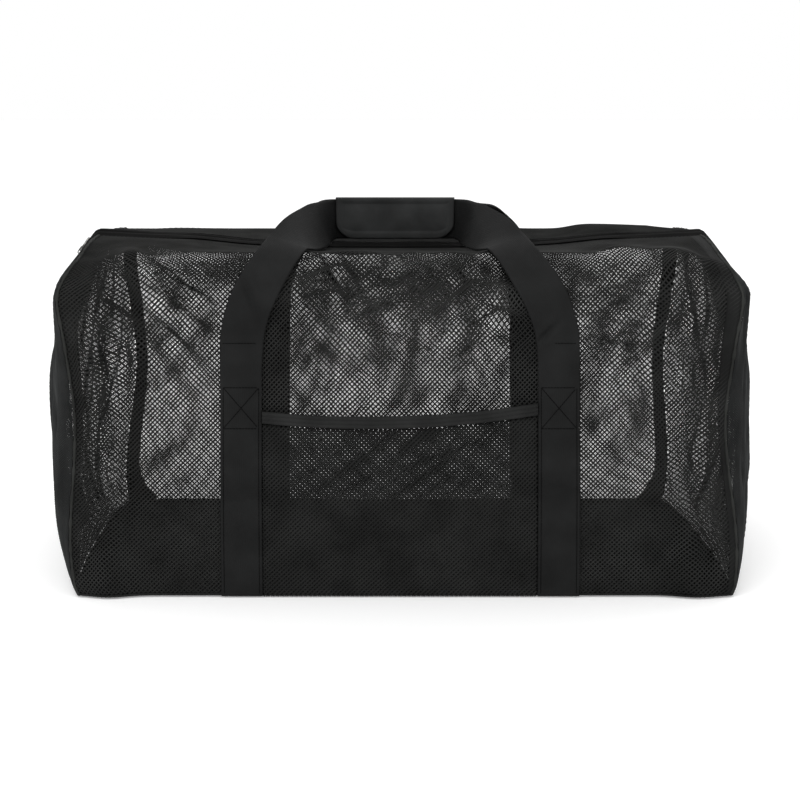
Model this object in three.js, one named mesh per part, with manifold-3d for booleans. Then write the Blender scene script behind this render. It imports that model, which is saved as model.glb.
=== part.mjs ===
// Mesh dive gear bag. A soft duffel of open net over a plain cloth bottom, closed by one zipper along the
// top. It has a pocket on the front wall and two webbing handles held together in a wrapped grip.
// Millimetres. X runs along the bag, Y from front to back, Z is up, and the origin is under the middle.
import * as THREE from 'three';
import { mergeVertices } from 'three/addons/utils/BufferGeometryUtils.js';
import Module from 'manifold-3d';

const wasm = await Module();
wasm.setup();

// Bag
const bagLength = 768;
const bagDepth = 381;
const bagHeight = 395;
const topEdgeRadius = 50;
const clothThickness = 2;
const clothGap = 0.3;
const wallSwell = 12;
const wallTaper = 0.035;
const endSwell = 44;
const endSkew = 6;
const endFullness = 2.6;

// Zipper
const coilWidth = 6.4;
const coilThickness = 3;
const tapeWidth = 16;
const tapeThickness = 1.2;
const sliderLength = 15;
const sliderWidth = 12;
const sliderThickness = 2.4;
const sliderPlace = 0.62;
const bridgeWidth = 2;
const bridgeThickness = 1.2;
const pullLength = 19;
const pullWidth = 8;
const pullThickness = 1.5;

// Pocket
const pocketHeight = 206;
const pocketTilt = 4.7;
const pocketSag = 8.3;
const pocketMouth = 9;
const pocketBindingHeight = 14;
const pocketBindingThickness = 3.2;

// Handles
const strapWidth = 48;
const strapThickness = 1.8;
const strapCentre = 183;
const sewnHeight = 254;
const gripLength = 145;
const gripShift = -6;
const gripHeight = 48;
const gripThickness = 3;
const gripClearance = 6;
const gripCornerRadius = 24;
const gripArch = 0.35;

// Seam binding
const bindingWidth = 17;
const bindingThickness = 1.6;

// Seam between a wall and an end panel: out beyond the bag's half length, as a share of the ends' swell
const SEAM_LINE = [
  { up: 0.0, out: -0.16 },
  { up: 0.04, out: -0.04 },
  { up: 0.18, out: -0.03 },
  { up: 0.52, out: -0.385 },
  { up: 0.75, out: -0.23 },
  { up: 0.85, out: -0.11 },
  { up: 0.9, out: -0.11 },
  { up: 0.95, out: -0.24 },
  { up: 1.0, out: -0.4 },
];

// Outline of an end, seen from the front, in the same shares
const END_LINE = [
  { up: 0.0, out: 0.16 },
  { up: 0.03, out: 0.52 },
  { up: 0.055, out: 0.65 },
  { up: 0.1, out: 0.76 },
  { up: 0.23, out: 0.93 },
  { up: 0.36, out: 1.0 },
  { up: 0.48, out: 1.0 },
  { up: 0.68, out: 0.84 },
  { up: 0.77, out: 0.64 },
  { up: 0.858, out: 0.42 },
  { up: 0.9, out: 0.3 },
  { up: 0.932, out: 0.14 },
  { up: 0.963, out: -0.09 },
  { up: 1.0, out: -0.4 },
];

// Rise of the top over the bag's height at the zipper, as shares of the half length and of the height
const TOP_LINE = [
  { along: 0.0, rise: -0.022 },
  { along: 0.3, rise: -0.02 },
  { along: 0.5, rise: -0.012 },
  { along: 0.67, rise: 0.004 },
  { along: 0.83, rise: 0.01 },
  { along: 1.0, rise: 0.018 },
];

// Dents and folds of the two walls: place and reach as shares of the half length and of the height, turn in
// degrees from level, and how far the cloth stands out as a share of the wall's swell
const FRONT_FOLDS = [
  { along: -0.86, up: 0.62, reach: 0.3, breadth: 0.06, turn: 82, out: -0.75 },
  { along: 0.9, up: 0.55, reach: 0.34, breadth: 0.055, turn: 90, out: -0.6 },
  { along: -0.72, up: 0.78, reach: 0.22, breadth: 0.07, turn: -38, out: -0.5 },
  { along: 0.74, up: 0.8, reach: 0.24, breadth: 0.07, turn: 40, out: -0.5 },
  { along: -0.12, up: 0.8, reach: 0.24, breadth: 0.06, turn: -12, out: -0.55 },
  { along: 0.2, up: 0.72, reach: 0.26, breadth: 0.065, turn: 16, out: -0.5 },
  { along: 0.02, up: 0.93, reach: 0.5, breadth: 0.07, turn: 0, out: -0.35 },
];
const BACK_FOLDS = [
  { along: 0.6, up: 1.16, reach: 0.4, breadth: 0.15, turn: 0, out: 0.7 },
  { along: -0.88, up: 0.6, reach: 0.3, breadth: 0.06, turn: 90, out: -0.6 },
  { along: 0.87, up: 0.6, reach: 0.3, breadth: 0.06, turn: 90, out: -0.6 },
  { along: 0.0, up: 0.76, reach: 0.5, breadth: 0.07, turn: 4, out: -0.5 },
  { along: -0.72, up: 0.8, reach: 0.22, breadth: 0.07, turn: -42, out: -0.5 },
  { along: 0.72, up: 0.8, reach: 0.22, breadth: 0.07, turn: 42, out: -0.5 },
];

// Folds of the end panels: across is a share of the half depth, out a share of the ends' swell
const END_FOLDS = [
  { across: -0.72, up: 0.6, reach: 0.34, breadth: 0.09, turn: 90, out: -0.12 },
  { across: -0.3, up: 0.4, reach: 0.4, breadth: 0.11, turn: 84, out: -0.08 },
  { across: 0.66, up: 0.62, reach: 0.32, breadth: 0.1, turn: 96, out: -0.1 },
  { across: 0.1, up: 0.84, reach: 0.3, breadth: 0.07, turn: 20, out: -0.08 },
  { across: -0.6, up: 0.77, reach: 0.12, breadth: 0.12, turn: 0, out: -0.12 },
];

// Free run of a handle's left side, from the last stitch to the grip: inward as a share of the way in to the
// grip's end, over as a share of the way over the wall to mid-depth, stand as a share of the grip's height
// over the cloth, turn in degrees from upright to lying along the grip, and lift in degrees off the cloth
const HANDLE_LINE = [
  { inward: 0.0, over: 0.0, stand: 0.0, turn: 0, lift: 0 },
  { inward: 0.01, over: 0.1, stand: 0.02, turn: 3, lift: 0 },
  { inward: 0.04, over: 0.2, stand: 0.04, turn: 9, lift: 0 },
  { inward: 0.14, over: 0.3, stand: 0.06, turn: 22, lift: 0 },
  { inward: 0.32, over: 0.41, stand: 0.1, turn: 35, lift: 2 },
  { inward: 0.49, over: 0.523, stand: 0.2, turn: 44, lift: 14 },
  { inward: 0.66, over: 0.67, stand: 0.49, turn: 55, lift: 50 },
  { inward: 0.83, over: 0.84, stand: 0.78, turn: 67, lift: 75 },
  { inward: 0.9, over: 0.94, stand: 0.94, turn: 78, lift: 86 },
  { inward: 1.0, over: 1.0, stand: 1.0, turn: 90, lift: 90 },
];

const halfLength = bagLength / 2;
const halfDepth = bagDepth / 2;
const wallFoot = clothThickness + clothGap;
const flatHalf = halfDepth - topEdgeRadius;
const slitHalf = coilWidth / 2 + 3 * clothGap;
const tapeInner = coilWidth / 2 + clothGap;

// Smooth value between the rows of a table
function readTable(rows, key, value, at) {
  const last = rows.length - 1;
  let i = 0;
  while (i < last - 1 && at > rows[i + 1][key]) {
    i += 1;
  }
  const slopeAt = (k) => {
    const a = rows[Math.max(0, k - 1)];
    const b = rows[Math.min(last, k + 1)];
    return (b[value] - a[value]) / (b[key] - a[key]);
  };
  const span = rows[i + 1][key] - rows[i][key];
  const t = THREE.MathUtils.clamp((at - rows[i][key]) / span, 0, 1);
  const t2 = t * t;
  const t3 = t2 * t;
  return (
    rows[i][value] * (2 * t3 - 3 * t2 + 1) +
    slopeAt(i) * span * (t3 - 2 * t2 + t) +
    rows[i + 1][value] * (3 * t2 - 2 * t3) +
    slopeAt(i + 1) * span * (t3 - t2)
  );
}

// How far the folds of a table move the cloth at one place, in the table's own share
function foldAt(rows, key, across, up, halfSpan) {
  let shift = 0;
  for (const row of rows) {
    const turn = THREE.MathUtils.degToRad(row.turn);
    const dx = ((across - row[key]) * halfSpan) / bagHeight;
    const dz = up - row.up;
    const along = dx * Math.cos(turn) + dz * Math.sin(turn);
    const aside = dz * Math.cos(turn) - dx * Math.sin(turn);
    shift += row.out * Math.exp(-((along / row.reach) ** 2) - (aside / row.breadth) ** 2);
  }
  return shift;
}

// The sewn straps hold the walls smooth under them
function strapHold(x) {
  const aside = (Math.abs(x) - strapCentre) / strapWidth;
  return 1 - Math.exp(-(aside ** 4) * 1.4);
}

// Even steps through a list of key places, with so many cells between each two
function stations(keys, cells) {
  const list = [keys[0]];
  for (let k = 1; k < keys.length; k += 1) {
    for (let i = 1; i <= cells[k - 1]; i += 1) {
      list.push(keys[k - 1] + ((keys[k] - keys[k - 1]) * i) / cells[k - 1]);
    }
  }
  return list;
}

function toGeometry(points, triangles) {
  const geometry = new THREE.BufferGeometry();
  const positions = new Float32Array(points.flatMap((p) => [p.x, p.y, p.z]));
  let volume = 0;
  for (const [a, b, c] of triangles) {
    volume += points[a].dot(new THREE.Vector3().crossVectors(points[b], points[c]));
  }
  const index = volume > 0 ? triangles.flat() : triangles.flatMap(([a, b, c]) => [a, c, b]);
  geometry.setAttribute('position', new THREE.BufferAttribute(positions, 3));
  geometry.setIndex(index);
  geometry.computeVertexNormals();
  return geometry;
}

// Closed sheet between two faces. face(a, b, layer) gives a point of layer 0 or 1, and kept says which
// cells are cloth, so that a slit can stay open.
function sheetGeometry(aList, bList, face, kept = () => true) {
  const na = aList.length;
  const nb = bList.length;
  const points = [];
  for (const layer of [0, 1]) {
    for (const b of bList) {
      for (const a of aList) {
        points.push(face(a, b, layer));
      }
    }
  }
  const at = (i, j, layer) => layer * na * nb + j * na + i;
  const used = (i, j) => i >= 0 && j >= 0 && i < na - 1 && j < nb - 1 && kept(i, j);
  const triangles = [];
  const quad = (a, b, c, d) => triangles.push([a, b, c], [a, c, d]);
  for (let j = 0; j < nb - 1; j += 1) {
    for (let i = 0; i < na - 1; i += 1) {
      if (!used(i, j)) {
        continue;
      }
      quad(at(i, j, 0), at(i + 1, j, 0), at(i + 1, j + 1, 0), at(i, j + 1, 0));
      quad(at(i, j, 1), at(i, j + 1, 1), at(i + 1, j + 1, 1), at(i + 1, j, 1));
      if (!used(i, j - 1)) {
        quad(at(i + 1, j, 0), at(i, j, 0), at(i, j, 1), at(i + 1, j, 1));
      }
      if (!used(i + 1, j)) {
        quad(at(i + 1, j + 1, 0), at(i + 1, j, 0), at(i + 1, j, 1), at(i + 1, j + 1, 1));
      }
      if (!used(i, j + 1)) {
        quad(at(i, j + 1, 0), at(i + 1, j + 1, 0), at(i + 1, j + 1, 1), at(i, j + 1, 1));
      }
      if (!used(i - 1, j)) {
        quad(at(i, j, 0), at(i, j + 1, 0), at(i, j + 1, 1), at(i, j, 1));
      }
    }
  }
  const live = [...new Set(triangles.flat())];
  const renumber = new Map(live.map((old, k) => [old, k]));
  return toGeometry(live.map((k) => points[k]), triangles.map((t) => t.map((k) => renumber.get(k))));
}

// Shape of the bag

// Path of a wall's section from the floor to the zipper, as {y, z} with y outward
const wallRun = bagHeight - topEdgeRadius;
const cornerRun = (topEdgeRadius * Math.PI) / 2;
const pathRun = wallRun + cornerRun + flatHalf;

function sectionAt(run) {
  if (run < wallRun) {
    return { y: halfDepth, z: run };
  }
  if (run < wallRun + cornerRun) {
    const turn = (run - wallRun) / topEdgeRadius;
    return {
      y: flatHalf + topEdgeRadius * Math.cos(turn),
      z: wallRun + topEdgeRadius * Math.sin(turn),
    };
  }
  return { y: flatHalf - (run - wallRun - cornerRun), z: bagHeight };
}

function seamOut(up) {
  return halfLength + endSwell * readTable(SEAM_LINE, 'up', 'out', up);
}

// The bag stands a little askew at the foot: its left end is longer behind, its right end in front
function footSkew(along, across, up) {
  return -endSkew * along ** 4 * across * Math.max(0, 1 - 2 * up);
}

function topRise(along) {
  return bagHeight * readTable(TOP_LINE, 'along', 'rise', Math.min(1, Math.abs(along)));
}

// Outer face of a wall, along from -1 to 1 and run along the section; side is -1 in front, 1 behind
function wallPoint(along, run, side, folds) {
  const section = sectionAt(run);
  const up = section.z / bagHeight;
  const inFlat = 1 - Math.min(1, Math.max(0, section.y / flatHalf)) ** 2;
  const swell = Math.sin(Math.PI * Math.min(1, up)) * (1 - along ** 4);
  const wide = halfLength * (1 - wallTaper * Math.min(1, up / 0.62));
  const x = along * wide + Math.sign(along) * along ** 6 * (seamOut(up) - wide);
  const edge = Math.min(1, (1 - Math.abs(along)) * 8) * Math.min(1, run / topEdgeRadius);
  const top = THREE.MathUtils.smoothstep(pathRun - run, 0, 2 * topEdgeRadius);
  const fold = foldAt(folds, 'along', along, run / bagHeight, halfLength) * strapHold(x) * edge * top;
  const out = wallSwell * (swell + fold);
  const leanBack = Math.min(1, Math.max(0, (run - wallRun) / cornerRun)) * (Math.PI / 2);
  return new THREE.Vector3(
    x + footSkew(along, side, up),
    side * (section.y + out * Math.cos(leanBack)),
    section.z + wallSwell * fold * Math.sin(leanBack) + topRise(along) * inFlat,
  );
}

// Point at a distance outside a wall's face, square to its section
function wallOffset(along, run, side, folds, distance) {
  const step = 1;
  const here = wallPoint(along, run, side, folds);
  const rise = wallPoint(along, run + step, side, folds).sub(wallPoint(along, run - step, side, folds));
  const normal = new THREE.Vector3(0, side * rise.z, -side * rise.y).normalize();
  return here.addScaledVector(normal, distance);
}

// Outer face of an end panel, across from -1 in front to 1 behind, up from 0 to 1; side is -1 or 1
function endPoint(across, up, side) {
  const level = up * bagHeight;
  const over = Math.max(0, level - wallRun);
  const reach = flatHalf + Math.sqrt(Math.max(0, topEdgeRadius ** 2 - over ** 2));
  const full = 1 - Math.abs(across) ** endFullness;
  const seam = seamOut(up);
  const crown = halfLength + endSwell * readTable(END_LINE, 'up', 'out', up);
  const held = full * Math.min(1, up * 8) * Math.min(1, (1 - up) * 5);
  const fold = endSwell * foldAt(END_FOLDS, 'across', across, up, halfDepth) * held;
  return new THREE.Vector3(
    side * (seam + (crown - seam) * full + fold + clothGap + clothThickness) + footSkew(1, across, up),
    across * reach,
    level + topRise(1) * (1 - across ** 2) * up ** 6,
  );
}

function endInner(across, up, side) {
  const outer = endPoint(across, up, side);
  const lean = THREE.MathUtils.smoothstep(up, 0.86, 1) * (Math.PI / 4);
  outer.x -= side * clothThickness * Math.cos(lean);
  outer.z -= clothThickness * Math.sin(lean);
  return outer;
}

// Pieces

const netCloth = { color: 0x2b2c2c, roughness: 0.8, metalness: 0 };
const plainCloth = { color: 0x202121, roughness: 0.75, metalness: 0 };
const webbing = { color: 0x1d1e1e, roughness: 0.7, metalness: 0 };
const castMetal = { color: 0xb4b4b0, roughness: 0.35, metalness: 1 };

const group = new THREE.Group();

function addPiece(name, geometry, look) {
  const mesh = new THREE.Mesh(geometry, new THREE.MeshStandardMaterial(look));
  mesh.name = name;
  group.add(mesh);
  return mesh;
}

// Plain bottom, bowed out at its ends like the end panels above it
function bottomPanel() {
  const bow = endSwell * (END_LINE[0].out - SEAM_LINE[0].out);
  const face = (a, b, layer) => {
    const full = 1 - Math.abs(b) ** endFullness;
    return new THREE.Vector3(
      a * (seamOut(0) + Math.abs(a) * bow * full) + footSkew(a, b, 0),
      b * halfDepth,
      layer * clothThickness,
    );
  };
  const across = stations([-1, -0.7, 0.7, 1], [4, 3, 4]);
  addPiece('bottom_panel', sheetGeometry(stations([-1, 1], [8]), across, face), plainCloth);
}

const strapInnerShare = (strapCentre - strapWidth / 2) / halfLength;
const strapOuterShare = (strapCentre + strapWidth / 2) / halfLength;
const bindingShare = 1 - bindingWidth / halfLength;
const rightKeys = [strapInnerShare, strapOuterShare, bindingShare, 1];
const wallKeys = [...rightKeys.map((share) => -share).reverse(), ...rightKeys];
const wallRunEnd = pathRun - slitHalf;
const tapeOuter = tapeInner + tapeWidth;
const runKeys = [wallFoot, sewnHeight, wallRun, wallRun + cornerRun, pathRun - tapeOuter, wallRunEnd];

function wallPanel(name, side, folds, columns) {
  const face = (along, run, layer) =>
    layer ? wallOffset(along, run, side, folds, -clothThickness) : wallPoint(along, run, side, folds);
  const geometry = sheetGeometry(stations(wallKeys, columns), stations(runKeys, wallRows), face);
  addPiece(name, geometry, netCloth);
}

const wallRows = [8, 4, 4, 3, 1];
const frontColumns = [1, 7, 2, 12, 2, 7, 1];
const backColumns = [1, 5, 2, 9, 2, 5, 1];

// Domed end, slit down from the top for the zipper
const slitCells = 4;
const endRows = stations(runKeys.slice(0, 4), wallRows.slice(0, 3)).map((run) => sectionAt(run).z / bagHeight);
const slitRow = endRows.length - 1 - slitCells;
const slitShare = slitHalf / halfDepth;
const endAcross = stations([-1, -0.7, -slitShare, slitShare, 0.7, 1], [4, 3, 1, 3, 4]);

function endPanel(name, side) {
  const face = (across, up, layer) => (layer ? endInner(across, up, side) : endPoint(across, up, side));
  const kept = (i, j) => !(i === 7 && j >= slitRow);
  addPiece(name, sheetGeometry(endAcross, endRows, face, kept), netCloth);
}

// Folded tape over the seam of an end, inside the two walls, up the front, over the top and down behind
function seamBinding(name, end) {
  const runs = stations(runKeys, wallRows);
  const rows = [...runs.map((run) => ({ run, side: -1 })), ...runs.map((run) => ({ run, side: 1 })).reverse()];
  const face = (edge, at, layer) => {
    const { run, side } = rows[at];
    const share = end * (1 + edge * (bindingShare - 1));
    const depth = clothThickness + clothGap + layer * bindingThickness;
    return wallOffset(share, run, side, side < 0 ? FRONT_FOLDS : BACK_FOLDS, -depth);
  };
  addPiece(name, sheetGeometry([0, 1], rows.map((row, at) => at), face), plainCloth);
}

// Zipper line over the top and down both shoulders, as a flat curve at mid-depth
const shoulderRows = endRows.slice(slitRow).reverse();
const zipperLine = (() => {
  const lift = 2 * clothGap;
  const list = [];
  for (const up of [...shoulderRows].reverse()) {
    const p = endPoint(0, up, -1);
    const lean = Math.PI / 4;
    list.push(new THREE.Vector3(p.x - lift * Math.cos(lean), 0, p.z + lift * Math.sin(lean)));
  }
  for (const along of stations(wallKeys, frontColumns).slice(1, -1)) {
    const p = wallPoint(along, pathRun, -1, FRONT_FOLDS);
    list.push(new THREE.Vector3(p.x, 0, p.z + lift));
  }
  for (const up of shoulderRows) {
    const p = endPoint(0, up, 1);
    const lean = Math.PI / 4;
    list.push(new THREE.Vector3(p.x + lift * Math.cos(lean), 0, p.z + lift * Math.sin(lean)));
  }
  return list;
})();

// Point beside and over the zipper line: at counts its points, and may lie between two of them
function zipperSpot(at, y, height) {
  const i = Math.min(zipperLine.length - 2, Math.floor(at));
  const a = zipperLine[i];
  const b = zipperLine[i + 1];
  const before = zipperLine[Math.max(0, i - 1)];
  const after = zipperLine[Math.min(zipperLine.length - 1, i + 2)];
  const t = at - i;
  const first = b.clone().sub(before);
  const second = after.clone().sub(a);
  const slope = first.lerp(second, t).normalize();
  const p = a.clone().lerp(b, t);
  return new THREE.Vector3(p.x - slope.z * height, y, p.z + slope.x * height);
}

const zipperSteps = zipperLine.map((p, i) => i);

function zipperTape(name, side) {
  const face = (edge, at, layer) =>
    zipperSpot(at, side * (tapeInner + edge * tapeWidth), layer * tapeThickness);
  addPiece(name, sheetGeometry([0, 1], zipperSteps, face), plainCloth);
}

function zipperCoil() {
  const ring = [
    [-0.5, -0.3],
    [-0.3, -0.5],
    [0.3, -0.5],
    [0.5, -0.3],
    [0.5, 0.3],
    [0.3, 0.5],
    [-0.3, 0.5],
    [-0.5, 0.3],
  ];
  addPiece('zipper_coil', tubeGeometry(zipperSteps.map((at) =>
    ring.map(([y, h]) => zipperSpot(at, y * coilWidth, tapeThickness / 2 + h * coilThickness)),
  )), plainCloth);
}

// Closed tube through rings of points. Both faces of a flat tube are split along the same diagonals, so that
// a twisted strap keeps its thickness.
function tubeGeometry(rings) {
  const n = rings[0].length;
  const points = rings.flat();
  const triangles = [];
  for (let r = 0; r < rings.length - 1; r += 1) {
    for (let i = 0; i < n; i += 1) {
      const a = r * n + i;
      const b = r * n + ((i + 1) % n);
      if (i < n / 2) {
        triangles.push([a, b, b + n], [a, b + n, a + n]);
      } else {
        triangles.push([a, b, a + n], [b, b + n, a + n]);
      }
    }
  }
  const last = (rings.length - 1) * n;
  for (let i = 1; i < n - 1; i += 1) {
    triangles.push([0, i + 1, i], [last, last + i, last + i + 1]);
  }
  return toGeometry(points, triangles);
}

// Second layer of net between the front straps, open along its top
const pocketEdge = strapInnerShare - clothGap / halfLength;
const pocketColumns = stations([-pocketEdge, pocketEdge], [12]);

function pocketTop(along) {
  const t = along / pocketEdge;
  return pocketHeight + pocketTilt * t + pocketSag * t * t;
}

function pocketStand(along, run) {
  const aside = 1 - (along / pocketEdge) ** 2;
  return clothGap + pocketMouth * aside * THREE.MathUtils.smoothstep(run, 0, pocketHeight);
}

function pocketPanel() {
  const face = (along, rise, layer) => {
    const run = THREE.MathUtils.lerp(wallFoot, pocketTop(along), rise);
    return wallOffset(along, run, -1, FRONT_FOLDS, pocketStand(along, run) + (1 - layer) * clothThickness);
  };
  addPiece('pocket_panel', sheetGeometry(pocketColumns, stations([0, 1], [8]), face), netCloth);
}

function pocketBinding() {
  const face = (along, rise, layer) => {
    const run = pocketTop(along) + clothGap + rise * pocketBindingHeight;
    const stand = pocketStand(along, pocketHeight) + (1 - layer) * pocketBindingThickness;
    return wallOffset(along, run, -1, FRONT_FOLDS, stand);
  };
  addPiece('pocket_binding', sheetGeometry(pocketColumns, [0, 1], face), plainCloth);
}

const freeSteps = 20;

// Grip place
const gripMiddle = bagHeight + topRise(0) + coilThickness + gripClearance + gripHeight / 2;
const strapDepth = strapThickness / 2 + clothGap / 2;
const gripInner = strapThickness + 2 * clothGap;

// Rings of a handle's webbing from the foot of one side to the grip; end is -1 on the left, 1 on the right
function handleRings(side, folds, end) {
  const half = strapWidth / 2;
  const seat = clothGap + strapThickness / 2;
  const edges = [strapOuterShare, strapInnerShare];
  const sewn = stations([wallFoot, sewnHeight], [wallRows[0]]).map((run) =>
    edges.map((share) =>
      [clothGap, clothGap + strapThickness].map((away) => wallOffset(end * share, run, side, folds, away)),
    ),
  );
  const gripEnd = gripLength / 2 + gripThickness + end * gripShift;
  const gripStand = gripMiddle - bagHeight - topRise(gripEnd / halfLength);
  const line = stations([0, 1], [freeSteps]).map((over) => {
    const read = (column) => readTable(HANDLE_LINE, 'over', column, over);
    const along = (end * THREE.MathUtils.lerp(strapCentre, gripEnd, read('inward'))) / halfLength;
    const run = THREE.MathUtils.lerp(sewnHeight, pathRun - strapDepth, over);
    const lean = Math.min(1, Math.max(0, (run - wallRun) / cornerRun)) * (Math.PI / 2);
    return {
      p: wallOffset(along, run, side, folds, THREE.MathUtils.lerp(seat, gripStand, read('stand'))),
      turn: THREE.MathUtils.degToRad(read('turn')),
      tilt: THREE.MathUtils.degToRad(read('lift')) - lean,
    };
  });
  const free = line.slice(1).map((row, i) => {
    const after = i + 2 < line.length ? line[i + 2].p : row.p.clone().setX(0);
    const go = after.clone().sub(line[i].p).normalize();
    const wide = new THREE.Vector3(
      -end * Math.cos(row.turn),
      -side * Math.sin(row.turn) * Math.sin(row.tilt),
      -Math.sin(row.turn) * Math.cos(row.tilt),
    );
    wide.addScaledVector(go, -wide.dot(go)).normalize();
    const out = new THREE.Vector3().crossVectors(go, wide).multiplyScalar(-end * side);
    return [-half, half].map((edge) =>
      [-strapThickness / 2, strapThickness / 2].map((away) =>
        row.p.clone().addScaledVector(wide, edge).addScaledVector(out, away),
      ),
    );
  });
  return [...sewn, ...free].map(([outer, inner]) => [outer[0], inner[0], inner[1], outer[1]]);
}

// One length of webbing: up the wall, free over the top, through the grip and down the other side
function handle(name, side, folds) {
  const left = handleRings(side, folds, -1);
  const right = handleRings(side, folds, 1).reverse();
  addPiece(name, tubeGeometry([...left, ...right]), webbing);
}

// Padded wrap folded over both handles, its free lower corners rounded
function handleWrap() {
  const wallIn = gripInner / 2 + clothGap * 2 + strapThickness / 2;
  const wallOut = wallIn + gripThickness;
  const top = gripHeight / 2 + clothGap;
  const halfGrip = gripLength / 2;
  const lowerAt = (x) => {
    const past = Math.max(0, Math.abs(x) - (halfGrip - gripCornerRadius));
    const lift = gripCornerRadius - Math.sqrt(Math.max(0, gripCornerRadius ** 2 - past ** 2));
    return -top + lift * 0.92;
  };
  const bend = [0, 30, 60, 90, 120, 150, 180].map(THREE.MathUtils.degToRad);
  const ringAt = (x) => {
    const low = lowerAt(x);
    const spot = (radius, turn) => [-radius * Math.cos(turn), top + radius * Math.sin(turn) * gripArch];
    const outline = [
      [-wallOut, low],
      ...bend.map((turn) => spot(wallOut, turn)),
      [wallOut, low],
      [wallIn, low],
      ...[...bend].reverse().map((turn) => spot(wallIn, turn)),
      [-wallIn, low],
    ];
    return outline.map(([y, z]) => new THREE.Vector3(gripShift + x, y, gripMiddle + z));
  };
  const cornerShare = 1 - gripCornerRadius / halfGrip;
  const xs = stations([-1, -cornerShare, cornerShare, 1], [5, 4, 5]);
  const n = ringAt(0).length;
  const points = xs.flatMap((share) => ringAt(share * halfGrip));
  const triangles = [];
  for (let r = 0; r < xs.length - 1; r += 1) {
    for (let i = 0; i < n; i += 1) {
      const a = r * n + i;
      const b = r * n + ((i + 1) % n);
      triangles.push([a, b, b + n], [a, b + n, a + n]);
    }
  }
  const last = (xs.length - 1) * n;
  for (let i = 0; i < n / 2 - 1; i += 1) {
    const j = n - 1 - i;
    triangles.push([i, j, i + 1], [i + 1, j, j - 1]);
    triangles.push([last + i, last + i + 1, last + j], [last + i + 1, last + j - 1, last + j]);
  }
  addPiece('handle_wrap', toGeometry(points, triangles), plainCloth);
}

// Slider and its pull, on the left shoulder. They are made lying along X and then laid on the slope.
const sliderAt = (shoulderRows.length - 1) * (1 - sliderPlace);
const seatHeight = tapeThickness / 2 + coilThickness / 2 + clothGap;
const sliderSeat = zipperSpot(sliderAt, 0, seatHeight);
const sliderAhead = zipperSpot(sliderAt + 0.2, 0, seatHeight);
const sliderTilt = Math.atan2(sliderAhead.z - sliderSeat.z, sliderAhead.x - sliderSeat.x);
const pinHeight = sliderThickness + clothGap + pullThickness / 2;
const bridgeInside = pinHeight + pullThickness / 2 + clothGap;
const bridgeHalf = 4.4;

function slide(mesh, along, height) {
  const turn = new THREE.Vector3(along, 0, height).applyAxisAngle(new THREE.Vector3(0, 1, 0), -sliderTilt);
  mesh.rotation.y = -sliderTilt;
  mesh.position.copy(sliderSeat).add(turn);
}

function toSolid(geometry) {
  const plain = geometry.clone();
  plain.deleteAttribute('normal');
  plain.deleteAttribute('uv');
  const merged = mergeVertices(plain, 1e-4);
  return new wasm.Manifold(
    new wasm.Mesh({
      numProp: 3,
      vertProperties: new Float32Array(merged.attributes.position.array),
      triVerts: new Uint32Array(merged.index.array),
    }),
  );
}

function fromSolid(solid) {
  const mesh = solid.getMesh();
  const geometry = new THREE.BufferGeometry();
  geometry.setAttribute('position', new THREE.BufferAttribute(mesh.vertProperties, 3));
  geometry.setIndex(new THREE.BufferAttribute(mesh.triVerts, 1));
  geometry.computeVertexNormals();
  return geometry;
}

function sliderPlate() {
  const nose = sliderWidth * 0.36;
  const end = sliderLength / 2;
  const outline = new THREE.Shape();
  outline.moveTo(-end, -nose);
  outline.lineTo(0, -sliderWidth / 2);
  outline.lineTo(end, -nose);
  outline.lineTo(end, nose);
  outline.lineTo(0, sliderWidth / 2);
  outline.lineTo(-end, nose);
  outline.closePath();
  return new THREE.ExtrudeGeometry(outline, { depth: sliderThickness, bevelEnabled: false });
}

// Arch that the pull's cross bar lies under
function sliderBridge() {
  const foot = bridgeHalf + bridgeThickness;
  const top = bridgeInside + bridgeThickness;
  const arch = new THREE.Shape();
  arch.moveTo(-foot, sliderThickness / 2);
  arch.lineTo(-foot, bridgeInside);
  arch.lineTo(-bridgeHalf, top);
  arch.lineTo(bridgeHalf, top);
  arch.lineTo(foot, bridgeInside);
  arch.lineTo(foot, sliderThickness / 2);
  arch.lineTo(bridgeHalf, sliderThickness / 2);
  arch.lineTo(bridgeHalf, bridgeInside);
  arch.lineTo(-bridgeHalf, bridgeInside);
  arch.lineTo(-bridgeHalf, sliderThickness / 2);
  arch.closePath();
  const bridge = new THREE.ExtrudeGeometry(arch, { depth: bridgeWidth, bevelEnabled: false });
  bridge.rotateX(Math.PI / 2);
  bridge.translate(0, bridgeWidth / 2, 0);
  return bridge;
}

function zipperSlider() {
  const solid = toSolid(sliderPlate()).add(toSolid(sliderBridge()));
  slide(addPiece('zipper_slider', fromSolid(solid), castMetal), 0, 0);
}

function zipperPull() {
  const half = pullWidth / 2;
  const bar = pullThickness / 2;
  const eyeHalf = bridgeWidth / 2 + 2 * clothGap;
  const eyeEnd = bridgeHalf + bridgeThickness + 3 * clothGap;
  const outline = new THREE.Shape();
  outline.moveTo(-bar, -half);
  outline.lineTo(pullLength - half, -half);
  outline.absarc(pullLength - half, 0, half, -Math.PI / 2, Math.PI / 2, false);
  outline.lineTo(-bar, half);
  outline.closePath();
  const eye = new THREE.Path();
  eye.moveTo(bar, -eyeHalf);
  eye.lineTo(bar, eyeHalf);
  eye.lineTo(eyeEnd, eyeHalf);
  eye.lineTo(eyeEnd, -eyeHalf);
  eye.closePath();
  outline.holes.push(eye);
  const geometry = new THREE.ExtrudeGeometry(outline, {
    depth: pullThickness,
    bevelEnabled: false,
    curveSegments: 8,
  });
  geometry.translate(0, 0, -pullThickness / 2);
  slide(addPiece('zipper_pull', geometry, castMetal), 0, pinHeight);
}

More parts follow.
